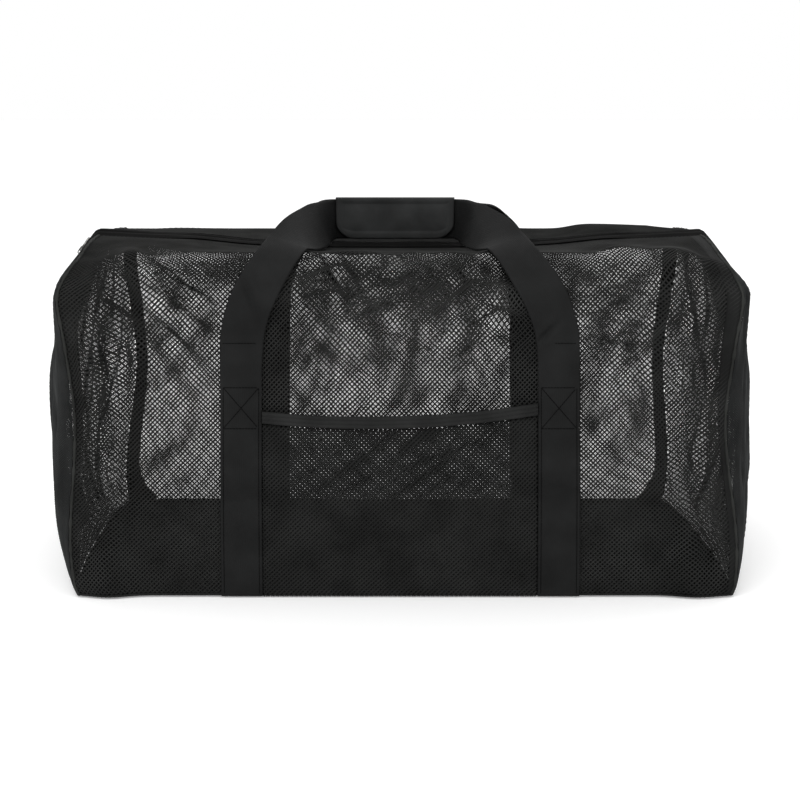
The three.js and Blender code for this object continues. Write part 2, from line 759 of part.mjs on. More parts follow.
bottomPanel();
wallPanel('front_mesh_panel', -1, FRONT_FOLDS, frontColumns);
wallPanel('back_mesh_panel', 1, BACK_FOLDS, backColumns);
endPanel('left_end_panel', -1);
endPanel('right_end_panel', 1);
seamBinding('seam_binding_left', -1);
seamBinding('seam_binding_right', 1);
zipperTape('zipper_tape_front', -1);
zipperTape('zipper_tape_back', 1);
zipperCoil();
pocketPanel();
pocketBinding();
handle('front_handle', -1, FRONT_FOLDS);
handle('back_handle', 1, BACK_FOLDS);
handleWrap();
zipperSlider();
zipperPull();

export default group;
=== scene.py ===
import math

import bpy
import numpy as np
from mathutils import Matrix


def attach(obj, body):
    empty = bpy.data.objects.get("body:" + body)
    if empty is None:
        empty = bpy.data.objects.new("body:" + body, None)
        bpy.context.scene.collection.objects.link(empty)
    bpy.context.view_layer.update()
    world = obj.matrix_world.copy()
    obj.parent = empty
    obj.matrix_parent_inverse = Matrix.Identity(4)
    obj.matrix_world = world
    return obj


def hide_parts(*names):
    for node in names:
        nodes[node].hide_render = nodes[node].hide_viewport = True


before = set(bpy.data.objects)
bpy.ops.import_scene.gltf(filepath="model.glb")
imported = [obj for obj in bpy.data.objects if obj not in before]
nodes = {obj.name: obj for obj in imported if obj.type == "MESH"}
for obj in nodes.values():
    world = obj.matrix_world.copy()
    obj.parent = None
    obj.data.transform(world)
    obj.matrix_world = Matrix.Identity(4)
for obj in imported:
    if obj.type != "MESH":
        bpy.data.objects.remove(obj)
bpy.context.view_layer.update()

# Camera: at the photograph's viewing angle, in front of the bag's middle, a
# little above its top and tilted down to it.
CAMERA_PLACE = (0, -1.692, 0.567)
CAMERA_PITCH = 12.51
SENSOR_WIDTH = 36
LENS = 61.74

bpy.ops.object.select_all(action="DESELECT")
bpy.ops.object.camera_add(location=CAMERA_PLACE, rotation=(math.radians(90 - CAMERA_PITCH), 0, 0))
camera = bpy.context.object
camera.data.sensor_width = SENSOR_WIDTH
camera.data.lens = LENS
bpy.context.scene.camera = camera

# Floor and light: a pale studio floor in white surroundings, a large soft
# light from the front left and a weaker one from behind on the right.
FLOOR_SIZE = 60
# place, turn in degrees, size, power
LIGHTS = [((-0.7, -1.6, 2.3), (36, 0, -22), 1.6, 22), ((1.6, 0.9, 2.0), (-42, 0, -60), 1.2, 6)]

bpy.ops.mesh.primitive_plane_add(size=FLOOR_SIZE)
floor = bpy.context.object
floor.name = "floor"
pale = bpy.data.materials.new("pale_floor")
pale.use_nodes = True
pale_inputs = pale.node_tree.nodes["Principled BSDF"].inputs
pale_inputs["Base Color"].default_value = (0.93, 0.93, 0.93, 1)
pale_inputs["Roughness"].default_value = 0.9
pale_inputs["Specular IOR Level"].default_value = 0.1
pale_inputs["Emission Color"].default_value = (1, 1, 1, 1)
pale_inputs["Emission Strength"].default_value = 0.2
floor.data.materials.append(pale)

world = bpy.data.worlds.new("studio")
bpy.context.scene.world = world
world.use_nodes = True
world.node_tree.nodes["Background"].inputs["Color"].default_value = (1, 1, 1, 1)
world.node_tree.nodes["Background"].inputs["Strength"].default_value = 1.0
bpy.context.scene.view_settings.view_transform = "Standard"

for light_place, light_turn, light_size, power in LIGHTS:
    bpy.ops.object.light_add(type="AREA", location=light_place, rotation=[math.radians(a) for a in light_turn])
    bpy.context.object.data.size = light_size
    bpy.context.object.data.energy = power

# Bottom: the one plain panel, black coated plain weave laid flat, its edge
# turned up and sewn to the foot of the four net panels.
HALF_LENGTH = 0.384
HALF_DEPTH = 0.1905
CLOTH = 0.002
EDGE_TURNED = 0.003
EDGE_SHARE = 0.995
FOOT_LOBE = 0.008
LOBE_PLACE = 0.9
LOBE_REACH = 0.07
LOBE_START = 0.8
END_SWELL = 0.044
END_SKEW = 0.006
END_FULLNESS = 2.6

# height share, and how far an end's middle stands out as a share of the ends' swell
END_LINE = [
    (0.0, 0.16), (0.03, 0.52), (0.055, 0.65), (0.1, 0.76), (0.23, 0.93), (0.36, 1.0), (0.48, 1.0),
    (0.68, 0.84), (0.77, 0.64), (0.858, 0.42), (0.9, 0.3), (0.932, 0.14), (0.963, -0.09), (1.0, -0.4),
]
# height share, and how far a seam stands out
SEAM_LINE = [
    (0.0, -0.16), (0.04, -0.04), (0.18, -0.03), (0.52, -0.385), (0.75, -0.23), (0.85, -0.11), (0.9, -0.11),
    (0.95, -0.24), (1.0, -0.4),
]


def foot_skew(along, across, up):
    """How far the foot of an end is pulled aside, so that its corners aren't quite square."""
    return -END_SKEW * along ** 4 * across * np.maximum(0, 1 - 2 * up)


def face_outwards(piece):
    """Selects the piece alone and turns its faces outwards."""
    bpy.ops.object.select_all(action="DESELECT")
    bpy.context.view_layer.objects.active = piece
    piece.select_set(True)
    bpy.ops.object.mode_set(mode="EDIT")
    bpy.ops.mesh.select_all(action="SELECT")
    bpy.ops.mesh.normals_make_consistent(inside=False)
    bpy.ops.object.mode_set(mode="OBJECT")


def cloth_shell(name, columns, rows, place, thickness):
    """A grid laid on place(across, along), both 0 to 1, given its thickness inwards and closed."""
    bpy.ops.object.select_all(action="DESELECT")
    bpy.ops.mesh.primitive_grid_add(x_subdivisions=columns, y_subdivisions=rows, size=1)
    cloth = bpy.context.object
    cloth.name = name
    flat = np.empty(len(cloth.data.vertices) * 3)
    cloth.data.vertices.foreach_get("co", flat)
    across, along = flat[0::3] + 0.5, flat[1::3] + 0.5
    cloth.data.vertices.foreach_set("co", np.ascontiguousarray(place(across, along)).ravel())
    wall = cloth.modifiers.new("thickness", "SOLIDIFY")
    wall.thickness = thickness
    wall.offset = -1
    bpy.ops.object.modifier_apply(modifier=wall.name)
    face_outwards(cloth)
    bpy.ops.object.shade_smooth()
    return cloth


CLOUD_SCALE = 28
CLOUD_DETAIL = 4
TONES = ((0.3, 0.7), (0.7, 1.3))
WEAVE_DEPTH = 0.0004


def black_cloth(name, colour, roughness, specular):
    """A dark textile finish: its shader, with a slow change of tone over the cloth."""
    finish = bpy.data.materials.new(name)
    finish.use_nodes = True
    tree = finish.node_tree
    shader = tree.nodes["Principled BSDF"]
    shader.inputs["Roughness"].default_value = roughness
    shader.inputs["Specular IOR Level"].default_value = specular
    place = tree.nodes.new("ShaderNodeTexCoord")
    cloud = tree.nodes.new("ShaderNodeTexNoise")
    cloud.inputs["Scale"].default_value = CLOUD_SCALE
    cloud.inputs["Detail"].default_value = CLOUD_DETAIL
    tree.links.new(place.outputs["Object"], cloud.inputs["Vector"])
    tone = tree.nodes.new("ShaderNodeValToRGB")
    for stop, (at, share) in zip(tone.color_ramp.elements, TONES):
        stop.position = at
        stop.color = tuple(share * c for c in colour) + (1,)
    tree.links.new(cloud.outputs["Fac"], tone.inputs["Fac"])
    tree.links.new(tone.outputs["Color"], shader.inputs["Base Color"])
    return finish


def add_weave(finish, source, scales, relief):
    """Raised threads in two directions over a finish; scales are threads a metre, or a unit of the UV map.
    At scale 1 the wave's bands are pi / 10 apart."""
    tree = finish.node_tree
    place = tree.nodes.new("ShaderNodeTexCoord")
    threads = []
    for axis, scale in zip("XY", scales):
        wave = tree.nodes.new("ShaderNodeTexWave")
        wave.wave_type = "BANDS"
        wave.bands_direction = axis
        wave.wave_profile = "SIN"
        wave.inputs["Scale"].default_value = scale * math.pi / 10
        tree.links.new(place.outputs[source], wave.inputs["Vector"])
        threads.append(wave)
    both = tree.nodes.new("ShaderNodeMath")
    both.operation = "MAXIMUM"
    tree.links.new(threads[0].outputs["Fac"], both.inputs[0])
    tree.links.new(threads[1].outputs["Fac"], both.inputs[1])
    bump = tree.nodes.new("ShaderNodeBump")
    bump.inputs["Strength"].default_value = relief
    bump.inputs["Distance"].default_value = WEAVE_DEPTH
    tree.links.new(both.outputs["Value"], bump.inputs["Height"])
    tree.links.new(bump.outputs["Normal"], tree.nodes["Principled BSDF"].inputs["Normal"])


def read_line(rows, at):
    """Smooth value between the rows of a line's table."""
    keys, values = np.array(rows).T
    last = len(keys) - 1
    below, above = np.maximum(np.arange(last + 1) - 1, 0), np.minimum(np.arange(last + 1) + 1, last)
    slope = (values[above] - values[below]) / (keys[above] - keys[below])
    i = np.clip(np.searchsorted(keys, at, side="right") - 1, 0, last - 1)
    span = keys[i + 1] - keys[i]
    t = np.clip((at - keys[i]) / span, 0, 1)
    return (
        values[i] * (2 * t**3 - 3 * t**2 + 1) + slope[i] * span * (t**3 - 2 * t**2 + t)
        + values[i + 1] * (3 * t**2 - 2 * t**3) + slope[i + 1] * span * (t**3 - t**2)
    )


def seam_out(up):
    """How far an end seam lies from the bag's middle at a share of the height."""
    return HALF_LENGTH + END_SWELL * read_line(SEAM_LINE, up)


def smooth(x, low, high):
    """0 at low and 1 at high, with an even passage between them."""
    t = np.clip((x - low) / (high - low), 0, 1)
    return t * t * (3 - 2 * t)


def foot_lobe(share):
    """How far the foot bulges to the front near its corners."""
    return FOOT_LOBE * np.exp(-(((np.abs(share) - LOBE_PLACE) / LOBE_REACH) ** 2))


def bottom_place(across, along):
    x, y = 2 * across - 1, 2 * along - 1
    bow = END_SWELL * (END_LINE[0][1] - SEAM_LINE[0][1]) * (1 - np.abs(y) ** END_FULLNESS)
    out = x * (seam_out(0.0) + np.abs(x) * bow) + foot_skew(x, y, 0) + np.sign(x) * CLOTH * np.abs(x) ** 20
    edge = np.maximum(np.abs(x), np.abs(y)) > EDGE_SHARE
    depth = y * HALF_DEPTH - foot_lobe(x) * smooth(-y, LOBE_START, 1)
    return np.stack([out, depth, CLOTH + EDGE_TURNED * edge], axis=1)


bottom_finish = black_cloth("bottom_cloth", (0.0115, 0.0117, 0.0115), 0.65, 0.06)
add_weave(bottom_finish, "Object", (900, 900), 0.35)
bottom = cloth_shell("bottom_cloth", 120, 60, bottom_place, CLOTH)
bottom.data.materials.append(bottom_finish)
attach(bottom, "bag")
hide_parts("bottom_panel")

# Front net: one cloth of open black polyester net, up the wall, over the
# rounded top edge and back to the zipper. Its strands lie on the bias.
HEIGHT = 0.395
GAP = 0.0003
TOP_RADIUS = 0.05
WALL_SWELL = 0.012
WALL_TAPER = 0.035
TAPER_TOP = 0.62
LOBE_HEIGHT = 0.035
EDGE_HOLD = 8
FOOT = CLOTH + GAP
FLAT_HALF = HALF_DEPTH - TOP_RADIUS
SLIT_HALF = 0.0041
WALL_RUN = HEIGHT - TOP_RADIUS
CORNER_RUN = TOP_RADIUS * math.pi / 2
PATH_RUN = WALL_RUN + CORNER_RUN + FLAT_HALF
CORNER_SINK = 0.01
SINK_START = 0.82
SINK_AHEAD = 0.01
SINK_SPREAD = 0.06
SINK_DROP = 0.02
STRAP_WIDTH = 0.048
STRAP_CENTRE = 0.183
STRAP_HOLD = 1.4
NET_PITCH = 0.00385
STRAND_WIDTH = 0.0018
STRAND_HEIGHT = 0.0006
STRAND_STEP = 0.008
STRAND_LAYER = 0.3
# strands are sought in these steps, and one of fewer steps is left out
STRAND_SAMPLE = 0.001
SHORTEST_STRAND = 4
PROBE = 0.0008
TINY = 1e-12
# how much broader strands are where they lie fully bunched
FRONT_BUNCHING = 0.8
NET_CLEAR = 0.0005
# how fast creases grow away from the end seams, the foot and the zipper, for each metre
SEAM_HOLD, FOOT_HOLD, ZIPPER_HOLD = 40, 15, 12
# least and most of a crease's wave length and reach, of its breadth and height in waves, and of its gather
CREASE_WAVE, CREASE_REACH = (0.03, 0.075), (0.025, 0.07)
CREASE_BREADTH, CREASE_HEIGHT, CREASE_GATHER = (0.35, 0.8), (0.07, 0.14), (0.4, 0.9)
SMUDGE_REACH, SMUDGE_BREADTH = (0.012, 0.034), (0.006, 0.012)

# length share, and the rise of the top as a share of the height
TOP_LINE = [(0.0, -0.022), (0.3, -0.02), (0.5, -0.012), (0.67, 0.004), (0.83, 0.01), (1.0, 0.018)]
# main folds: along, up, reach, breadth, turn from level, stand
FRONT_FOLDS = [
    (-0.86, 0.62, 0.3, 0.06, 82, -0.75), (0.9, 0.55, 0.34, 0.055, 90, -0.6), (-0.72, 0.78, 0.22, 0.07, -38, -0.5),
    (0.74, 0.8, 0.24, 0.07, 40, -0.5), (-0.12, 0.8, 0.24, 0.06, -12, -0.55), (0.2, 0.72, 0.26, 0.065, 16, -0.5),
    (0.02, 0.93, 0.5, 0.07, 0, -0.35), (0.8, 1.0, 0.24, 0.12, 4, 0.75),
]


def fold_at(rows, across, up, half_span):
    """How far the main folds stand out, as a share of the swell."""
    shift = 0 * across
    for place, level, reach, breadth, turn, stand in rows:
        c, s = math.cos(math.radians(turn)), math.sin(math.radians(turn))
        dx, dz = (across - place) * half_span / HEIGHT, up - level
        shift = shift + stand * np.exp(-(((dx * c + dz * s) / reach) ** 2) - ((dz * c - dx * s) / breadth) ** 2)
    return shift


def strap_hold(x):
    """0 where a strap holds the wall flat, 1 away from it."""
    return 1 - np.exp(-STRAP_HOLD * ((np.abs(x) - STRAP_CENTRE) / STRAP_WIDTH) ** 4)


def top_rise(along):
    """How far the middle of the top stands over the walls' height."""
    return HEIGHT * read_line(TOP_LINE, np.minimum(1, np.abs(along)))


def corner_sink(share, y, z):
    """How far the front top corners sink towards the end seams."""
    near_edge = np.exp(-(((y + FLAT_HALF + SINK_AHEAD) / SINK_SPREAD) ** 2))
    return CORNER_SINK * smooth(np.abs(share), SINK_START, 1.0) * near_edge * smooth(z, WALL_RUN - SINK_DROP, HEIGHT)


def wall_surface(along, run, side, folds, stand=0.0):
    """A wall's outer face: along is -1 to 1 from end to end, run goes up the wall and over the top."""
    lean = np.clip((run - WALL_RUN) / TOP_RADIUS, 0, math.pi / 2)
    y = FLAT_HALF + TOP_RADIUS * np.cos(lean) - np.maximum(0, run - WALL_RUN - CORNER_RUN)
    z = np.minimum(run, WALL_RUN) + TOP_RADIUS * np.sin(lean)
    up = z / HEIGHT
    in_flat = 1 - np.clip(y / FLAT_HALF, 0, 1) ** 2
    swell = np.sin(math.pi * np.minimum(1, up)) * (1 - along**4)
    wide = HALF_LENGTH * (1 - WALL_TAPER * np.minimum(1, up / TAPER_TOP))
    x = along * wide + np.sign(along) * along**6 * (seam_out(up) - wide)
    edge = np.minimum(1, (1 - np.abs(along)) * EDGE_HOLD) * np.minimum(1, run / TOP_RADIUS)
    top = smooth(PATH_RUN - run, 0, 2 * TOP_RADIUS)
    fold = fold_at(folds, along, run / HEIGHT, HALF_LENGTH) * strap_hold(x) * edge * top
    lobe = (side < 0) * foot_lobe(along) * np.exp(-((run / LOBE_HEIGHT) ** 2))
    out = WALL_SWELL * (swell + fold) + stand + lobe
    rise = WALL_SWELL * fold + stand
    return np.stack([
        x + foot_skew(along, side, up),
        side * (y + out * np.cos(lean)),
        z + rise * np.sin(lean) + top_rise(along) * in_flat - corner_sink(along, side * y, z),
    ], axis=-1)


def ripple(rows, u, v):
    """Small creases of slack net. Each row: place, crease direction, wave length, reach, breadth, height and
    gather. Gives how far they carry the cloth along u, along v and outwards."""
    du, dv, out = 0 * u, 0 * u, 0 * u
    for u0, v0, turn, wave, reach, breadth, height, gather in rows:
        c, s = math.cos(math.radians(turn)), math.sin(math.radians(turn))
        lengthwise, aside = (u - u0) * c + (v - v0) * s, (v - v0) * c - (u - u0) * s
        held = np.exp(-((lengthwise / reach) ** 2) - (aside / breadth) ** 2)
        phase = 2 * math.pi * aside / wave
        shift = held * gather * wave / (4 * math.pi) * np.sin(2 * phase)
        out = out + held * height * np.cos(phase)
        du, dv = du - s * shift, dv + c * shift
    return du, dv, out


def bunched(rows, u, v):
    """How far the net is drawn together, 0 to 1. Each row: place, direction, reach, breadth and strength."""
    open_share = 1 + 0 * u
    for u0, v0, turn, reach, breadth, strength in rows:
        c, s = math.cos(math.radians(turn)), math.sin(math.radians(turn))
        lengthwise, aside = (u - u0) * c + (v - v0) * s, (v - v0) * c - (u - u0) * s
        open_share = open_share * (1 - strength * np.exp(-((lengthwise / reach) ** 2) - (aside / breadth) ** 2))
    return 1 - open_share


def smudges(seed, count, u_range, v_range, turns, strengths):
    """Scattered small places where the net is drawn together, the same each time for one seed."""
    chance = np.random.default_rng(seed)
    return [
        tuple(chance.uniform(*span) for span in (u_range, v_range, turns, SMUDGE_REACH, SMUDGE_BREADTH, strengths))
        for _ in range(count)
    ]


def slack(seed, count, u_range, v_range, turns, strength=1.0):
    """Scattered creases of a stretch of net, the same each time for one seed."""
    chance = np.random.default_rng(seed)
    rows = []
    for _ in range(count):
        wave = chance.uniform(*CREASE_WAVE)
        rows.append((
            chance.uniform(*u_range), chance.uniform(*v_range), chance.uniform(*turns), wave,
            chance.uniform(*CREASE_REACH), chance.uniform(*CREASE_BREADTH) * wave,
            chance.uniform(*CREASE_HEIGHT) * wave * strength, chance.uniform(*CREASE_GATHER) * strength,
        ))
    return rows


def strand_runs(inside, u_range, v_range, pitch, step):
    """Both sets of diagonal strands that cover a flat panel, as runs of evenly stepped points."""
    u_low, u_high = u_range
    v_low, v_high = v_range
    rise = np.arange(0, v_high - v_low, STRAND_SAMPLE)
    runs = []
    for way in (1, -1):
        start = u_low - (v_high - v_low) if way > 0 else u_low
        stop = u_high if way > 0 else u_high + (v_high - v_low)
        for foot in np.arange(start, stop, pitch * math.sqrt(2)):
            kept = inside(foot + way * rise, v_low + rise)
            edges = np.flatnonzero(np.diff(np.concatenate([[False], kept, [False]]).astype(int)))
            for first, last in zip(edges[0::2], edges[1::2] - 1):
                if last - first < SHORTEST_STRAND:
                    continue
                span = rise[last] - rise[first]
                t = np.linspace(rise[first], rise[last], max(2, math.ceil(span * math.sqrt(2) / step) + 1))
                runs.append((foot + way * t, v_low + t, way))
    return runs


def mesh_piece(name, points, faces):
    """A new object in the scene, with these points and faces."""
    mesh = bpy.data.meshes.new(name)
    mesh.from_pydata(points, [], faces)
    piece = bpy.data.objects.new(name, mesh)
    bpy.context.collection.objects.link(piece)
    return piece


def net_cloth(name, inside, place, out_sign, u_range, v_range, pitch=NET_PITCH, width=STRAND_WIDTH,
              spacing=STRAND_STEP, tucks=(), bunching=0.0):
    """Open net: each strand is a thin three-sided yarn that follows the panel's face, broader where strands lie
    bunched side by side."""
    runs = strand_runs(inside, u_range, v_range, pitch, spacing)
    counts = np.array([len(u) for u, _, _ in runs])
    u = np.concatenate([row[0] for row in runs])
    v = np.concatenate([row[1] for row in runs])
    way = np.repeat([row[2] for row in runs], counts)
    here = place(u, v)
    along_u = place(u + PROBE, v) - place(u - PROBE, v)
    along_v = place(u, v + PROBE) - place(u, v - PROBE)
    normal = np.cross(along_u, along_v) * out_sign
    normal /= np.linalg.norm(normal, axis=1, keepdims=True) + TINY
    go = along_u * way[:, None] + along_v
    go /= np.linalg.norm(go, axis=1, keepdims=True) + TINY
    aside = np.cross(normal, go)
    middle = here + normal * (way * STRAND_HEIGHT * STRAND_LAYER)[:, None]
    ring = [(-0.5, -0.5), (0.5, -0.5), (0.0, 0.5)]
    breadth = width * (1 + bunching * bunched(tucks, u, v))[:, None]
    corners = [middle + aside * (a * breadth) + normal * (h * STRAND_HEIGHT) for a, h in ring]
    points = np.stack(corners, axis=1).reshape(-1, 3)
    first = np.concatenate([[0], np.cumsum(counts)[:-1]])
    step_at = np.concatenate([np.arange(n - 1) + f for n, f in zip(counts, first)])
    a = step_at * 3
    sides = [np.stack([a + i, a + j, a + 3 + j, a + 3 + i], axis=1) for i, j in ((0, 1), (1, 2), (2, 0))]
    start, end = first * 3, (first + counts - 1) * 3
    caps = [np.stack([start, start + 2, start + 1], axis=1), np.stack([end, end + 1, end + 2], axis=1)]
    cloth = mesh_piece(name, points, np.concatenate(sides).tolist() + np.concatenate(caps).tolist())
    cloth.data.shade_smooth()
    return cloth


FRONT_SLACK = (
    slack(3, 12, (-0.33, -0.2), (0.24, 0.42), (-70, -25), 0.45)
    + slack(5, 24, (-0.17, 0.17), (0.3, 0.43), (-55, 55), 0.55)
    + slack(7, 12, (0.2, 0.33), (0.24, 0.42), (25, 70), 0.45)
    + slack(9, 12, (-0.375, -0.32), (0.04, 0.4), (70, 100), 0.6)
    + slack(11, 12, (0.32, 0.375), (0.04, 0.4), (80, 110), 0.6)
    + slack(13, 20, (-0.36, 0.36), (0.08, 0.28), (20, 70), 0.22)
)
# place along and up, direction, reach, breadth, strength
FRONT_TUCKS = [
    (-0.09, 0.36, 4, 0.06, 0.008, 0.5), (0.02, 0.368, -3, 0.07, 0.008, 0.5), (0.1, 0.362, 6, 0.05, 0.008, 0.5),
    (-0.045, 0.318, -52, 0.028, 0.006, 0.5), (0.083, 0.312, 55, 0.03, 0.006, 0.5), (0.06, 0.285, 80, 0.022, 0.005, 0.4),
    (-0.29, 0.31, -40, 0.05, 0.007, 0.4), (0.3, 0.32, 42, 0.05, 0.007, 0.4), (-0.356, 0.2, 84, 0.12, 0.009, 0.4),
    (0.36, 0.22, 92, 0.13, 0.008, 0.4),
] + smudges(41, 40, (-0.36, 0.36), (0.33, 0.4), (-30, 30), (0.2, 0.5))


def wall_net(side, folds, creases):
    """The place of a wall's net, in the middle of its cloth and with its creases."""
    def place(u, v):
        hold = strap_hold(u) * np.clip((HALF_LENGTH - np.abs(u)) * SEAM_HOLD, 0, 1) * np.clip(v * FOOT_HOLD, 0, 1)
        hold = hold * np.clip((PATH_RUN - v) * ZIPPER_HOLD, 0, 1)
        du, dv, out = np.array(ripple(creases, u, v)) * hold
        return wall_surface((u + du) / HALF_LENGTH, v + dv, side, folds, out - CLOTH / 2)

    return place


def wall_kept(u, v):
    return (np.abs(u) <= HALF_LENGTH - NET_CLEAR) & (v >= FOOT) & (v <= PATH_RUN - SLIT_HALF)


net_finish = black_cloth("net_yarn", (0.0195, 0.0198, 0.0192), 0.65, 0.06)
WALL_SPAN = ((-HALF_LENGTH, HALF_LENGTH), (FOOT, PATH_RUN))
front_net = net_cloth(
    "front_net", wall_kept, wall_net(-1, FRONT_FOLDS, FRONT_SLACK), 1, *WALL_SPAN,
    tucks=FRONT_TUCKS, bunching=FRONT_BUNCHING
)
front_net.data.materials.append(net_finish)
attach(front_net, "bag")
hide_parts("front_mesh_panel")

# Back net: the same black polyester net behind, sewn in like the front one and
# with its own creases. It shows through the front net as an even layer, so its
# strands are finer and closer. It is laid in two overlapping stretches.
# along, up, reach, breadth, turn from level, stand
BACK_FOLDS = [
    (0.6, 1.16, 0.4, 0.15, 0, 0.7), (-0.88, 0.6, 0.3, 0.06, 90, -0.6), (0.87, 0.6, 0.3, 0.06, 90, -0.6),
    (0.0, 0.76, 0.5, 0.07, 4, -0.5), (-0.72, 0.8, 0.22, 0.07, -42, -0.5), (0.72, 0.8, 0.22, 0.07, 42, -0.5),
]
BACK_PITCH = 0.0017
BACK_STRAND = 0.00062
BACK_STEP = 0.0115
BACK_BUNCHING = 1.4
BACK_SPLIT = 0.29
BACK_OVERLAP = 0.0012
BACK_SLACK = (
    slack(21, 26, (-0.34, 0.34), (0.22, 0.36), (-60, 60), 0.7)
    + slack(23, 20, (-0.34, 0.34), (0.08, 0.26), (30, 150), 0.4)
)
# place along and up, direction, reach, breadth, strength
BACK_TUCKS = [
    (-0.11, 0.33, 0, 0.03, 0.014, 0.9), (-0.134, 0.3, 90, 0.028, 0.01, 0.85), (-0.07, 0.305, 86, 0.024, 0.013, 0.95),
    (-0.04, 0.288, 60, 0.02, 0.01, 0.7), (-0.04, 0.258, -52, 0.034, 0.01, 0.7), (-0.026, 0.338, 60, 0.022, 0.012, 0.85),
    (0.015, 0.312, 30, 0.03, 0.02, 0.95), (0.072, 0.335, 10, 0.036, 0.015, 0.9), (0.093, 0.302, 88, 0.03, 0.011, 0.95),
    (0.054, 0.277, 86, 0.032, 0.012, 0.85), (0.018, 0.236, 88, 0.038, 0.01, 0.8), (0.102, 0.23, 60, 0.028, 0.011, 0.7),
    (-0.102, 0.243, 88, 0.026, 0.01, 0.7), (-0.118, 0.216, 25, 0.03, 0.011, 0.65),
    (-0.04, 0.213, 70, 0.026, 0.012, 0.65), (-0.354, 0.25, 85, 0.02, 0.01, 0.8),
    (-0.278, 0.257, 80, 0.018, 0.01, 0.85), (-0.3, 0.222, -48, 0.03, 0.008, 0.5),
    (-0.335, 0.07, 35, 0.04, 0.01, 0.7), (-0.3, 0.11, 60, 0.03, 0.01, 0.35), (-0.25, 0.33, 30, 0.05, 0.016, 0.75),
    (-0.33, 0.32, -30, 0.04, 0.015, 0.75), (0.25, 0.33, -25, 0.05, 0.015, 0.8), (0.33, 0.31, 50, 0.05, 0.015, 0.8),
    (0.29, 0.25, 70, 0.04, 0.012, 0.7), (0.26, 0.16, 60, 0.045, 0.014, 0.6), (0.34, 0.12, 85, 0.05, 0.014, 0.65),
    (0.0, 0.366, 2, 0.2, 0.01, 0.5),
] + smudges(43, 30, (-0.18, 0.18), (0.28, 0.36), (30, 120), (0.3, 0.8)) + (
    smudges(45, 44, (-0.38, 0.38), (0.2, 0.36), (40, 140), (0.3, 0.75))
    + smudges(47, 46, (-0.38, 0.38), (0.02, 0.26), (30, 90), (0.3, 0.7))
    + smudges(51, 26, (-0.17, 0.17), (0.14, 0.3), (60, 120), (0.35, 0.75))
    + smudges(53, 10, (0.22, 0.36), (0.1, 0.3), (40, 110), (0.35, 0.7))
)
for part, low, high in (("low", FOOT, BACK_SPLIT + BACK_OVERLAP), ("high", BACK_SPLIT, PATH_RUN)):

    def back_kept(u, v, low=low, high=high):
        return wall_kept(u, v) & (v >= low) & (v <= high)

    back_net = net_cloth(
        "back_net_" + part, back_kept, wall_net(1, BACK_FOLDS, BACK_SLACK), -1, *WALL_SPAN, pitch=BACK_PITCH,
        width=BACK_STRAND, spacing=BACK_STEP, tucks=BACK_TUCKS, bunching=BACK_BUNCHING
    )
    back_net.data.materials.append(net_finish)
    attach(back_net, "bag")
    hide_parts("back_mesh_panel")

# Ends: domed net panels, sewn to both walls and slit at the top for the
# zipper, which runs down over each shoulder.
# across, up, reach, breadth, turn from level, stand
END_FOLDS = [
    (-0.72, 0.6, 0.34, 0.09, 90, -0.12), (-0.3, 0.4, 0.4, 0.11, 84, -0.08), (0.66, 0.62, 0.32, 0.1, 96, -0.1),
    (0.1, 0.84, 0.3, 0.07, 20, -0.08), (-0.6, 0.77, 0.12, 0.12, 0, -0.12),
]
SLIT_UP = WALL_RUN
END_PITCH = 0.002
END_STRAND = 0.00118
END_STEP = 0.0115
END_BUNCHING = 0.6
# how fast the folds grow up from the foot and down from the top, for each height of the bag
END_FOOT_HOLD, END_TOP_HOLD = 8, 5
# how fast creases grow away from the wall seams, the foot and the top, for each metre
WALL_SEAM_HOLD, END_EDGE_HOLD = 30, 20
# share of the creases left at the crown, and where it ends across the end
CROWN_CREASES, CROWN_EDGES = 0.12, (0.06, 0.16)


def end_reach(z):
    """Half an end's breadth at a height."""
    return FLAT_HALF + np.sqrt(np.maximum(0, TOP_RADIUS**2 - np.maximum(0, z - WALL_RUN) ** 2))


def end_surface(across, up, side, stand=0.0):
    """An end's outer face: across is -1 in front to 1 behind, up is a share of the height."""
    level = up * HEIGHT
    reach = end_reach(level)
    full = 1 - np.minimum(1, np.abs(across)) ** END_FULLNESS
    seam = seam_out(up)
    crown = HALF_LENGTH + END_SWELL * read_line(END_LINE, up)
    held = full * np.minimum(1, up * END_FOOT_HOLD) * np.clip((1 - up) * END_TOP_HOLD, 0, 1)
    fold = END_SWELL * fold_at(END_FOLDS, across, up, HALF_DEPTH) * held
    return np.stack([
        side * (seam + (crown - seam) * full + fold + FOOT + stand) + foot_skew(1, across, up),
        across * reach,
        level + top_rise(1.0) * (1 - across**2) * up**6 - corner_sink(1.0, across * reach, level),
    ], axis=-1)


def end_net(side, creases):
    """The place of an end's net, in the middle of its cloth and with its creases."""
    def place(u, v):
        hold = np.clip((end_reach(v) - np.abs(u)) * WALL_SEAM_HOLD, 0, 1)
        hold = hold * np.clip(v * END_EDGE_HOLD, 0, 1) * np.clip((HEIGHT - v) * END_EDGE_HOLD, 0, 1)
        du, dv, out = ripple(creases, u, v)
        y, z = u + du * hold, np.clip(v + dv * hold, 0, HEIGHT)
        hold = hold * (CROWN_CREASES + (1 - CROWN_CREASES) * smooth(np.abs(u), *CROWN_EDGES))
        return end_surface(np.clip(y / end_reach(z), -1, 1), z / HEIGHT, side, out * hold - CLOTH / 2)

    return place


def end_kept(u, v):
    slit = (np.abs(u) < SLIT_HALF) & (v > SLIT_UP)
    return (np.abs(u) <= end_reach(v)) & (v >= FOOT) & (v <= HEIGHT - NET_CLEAR) & ~slit


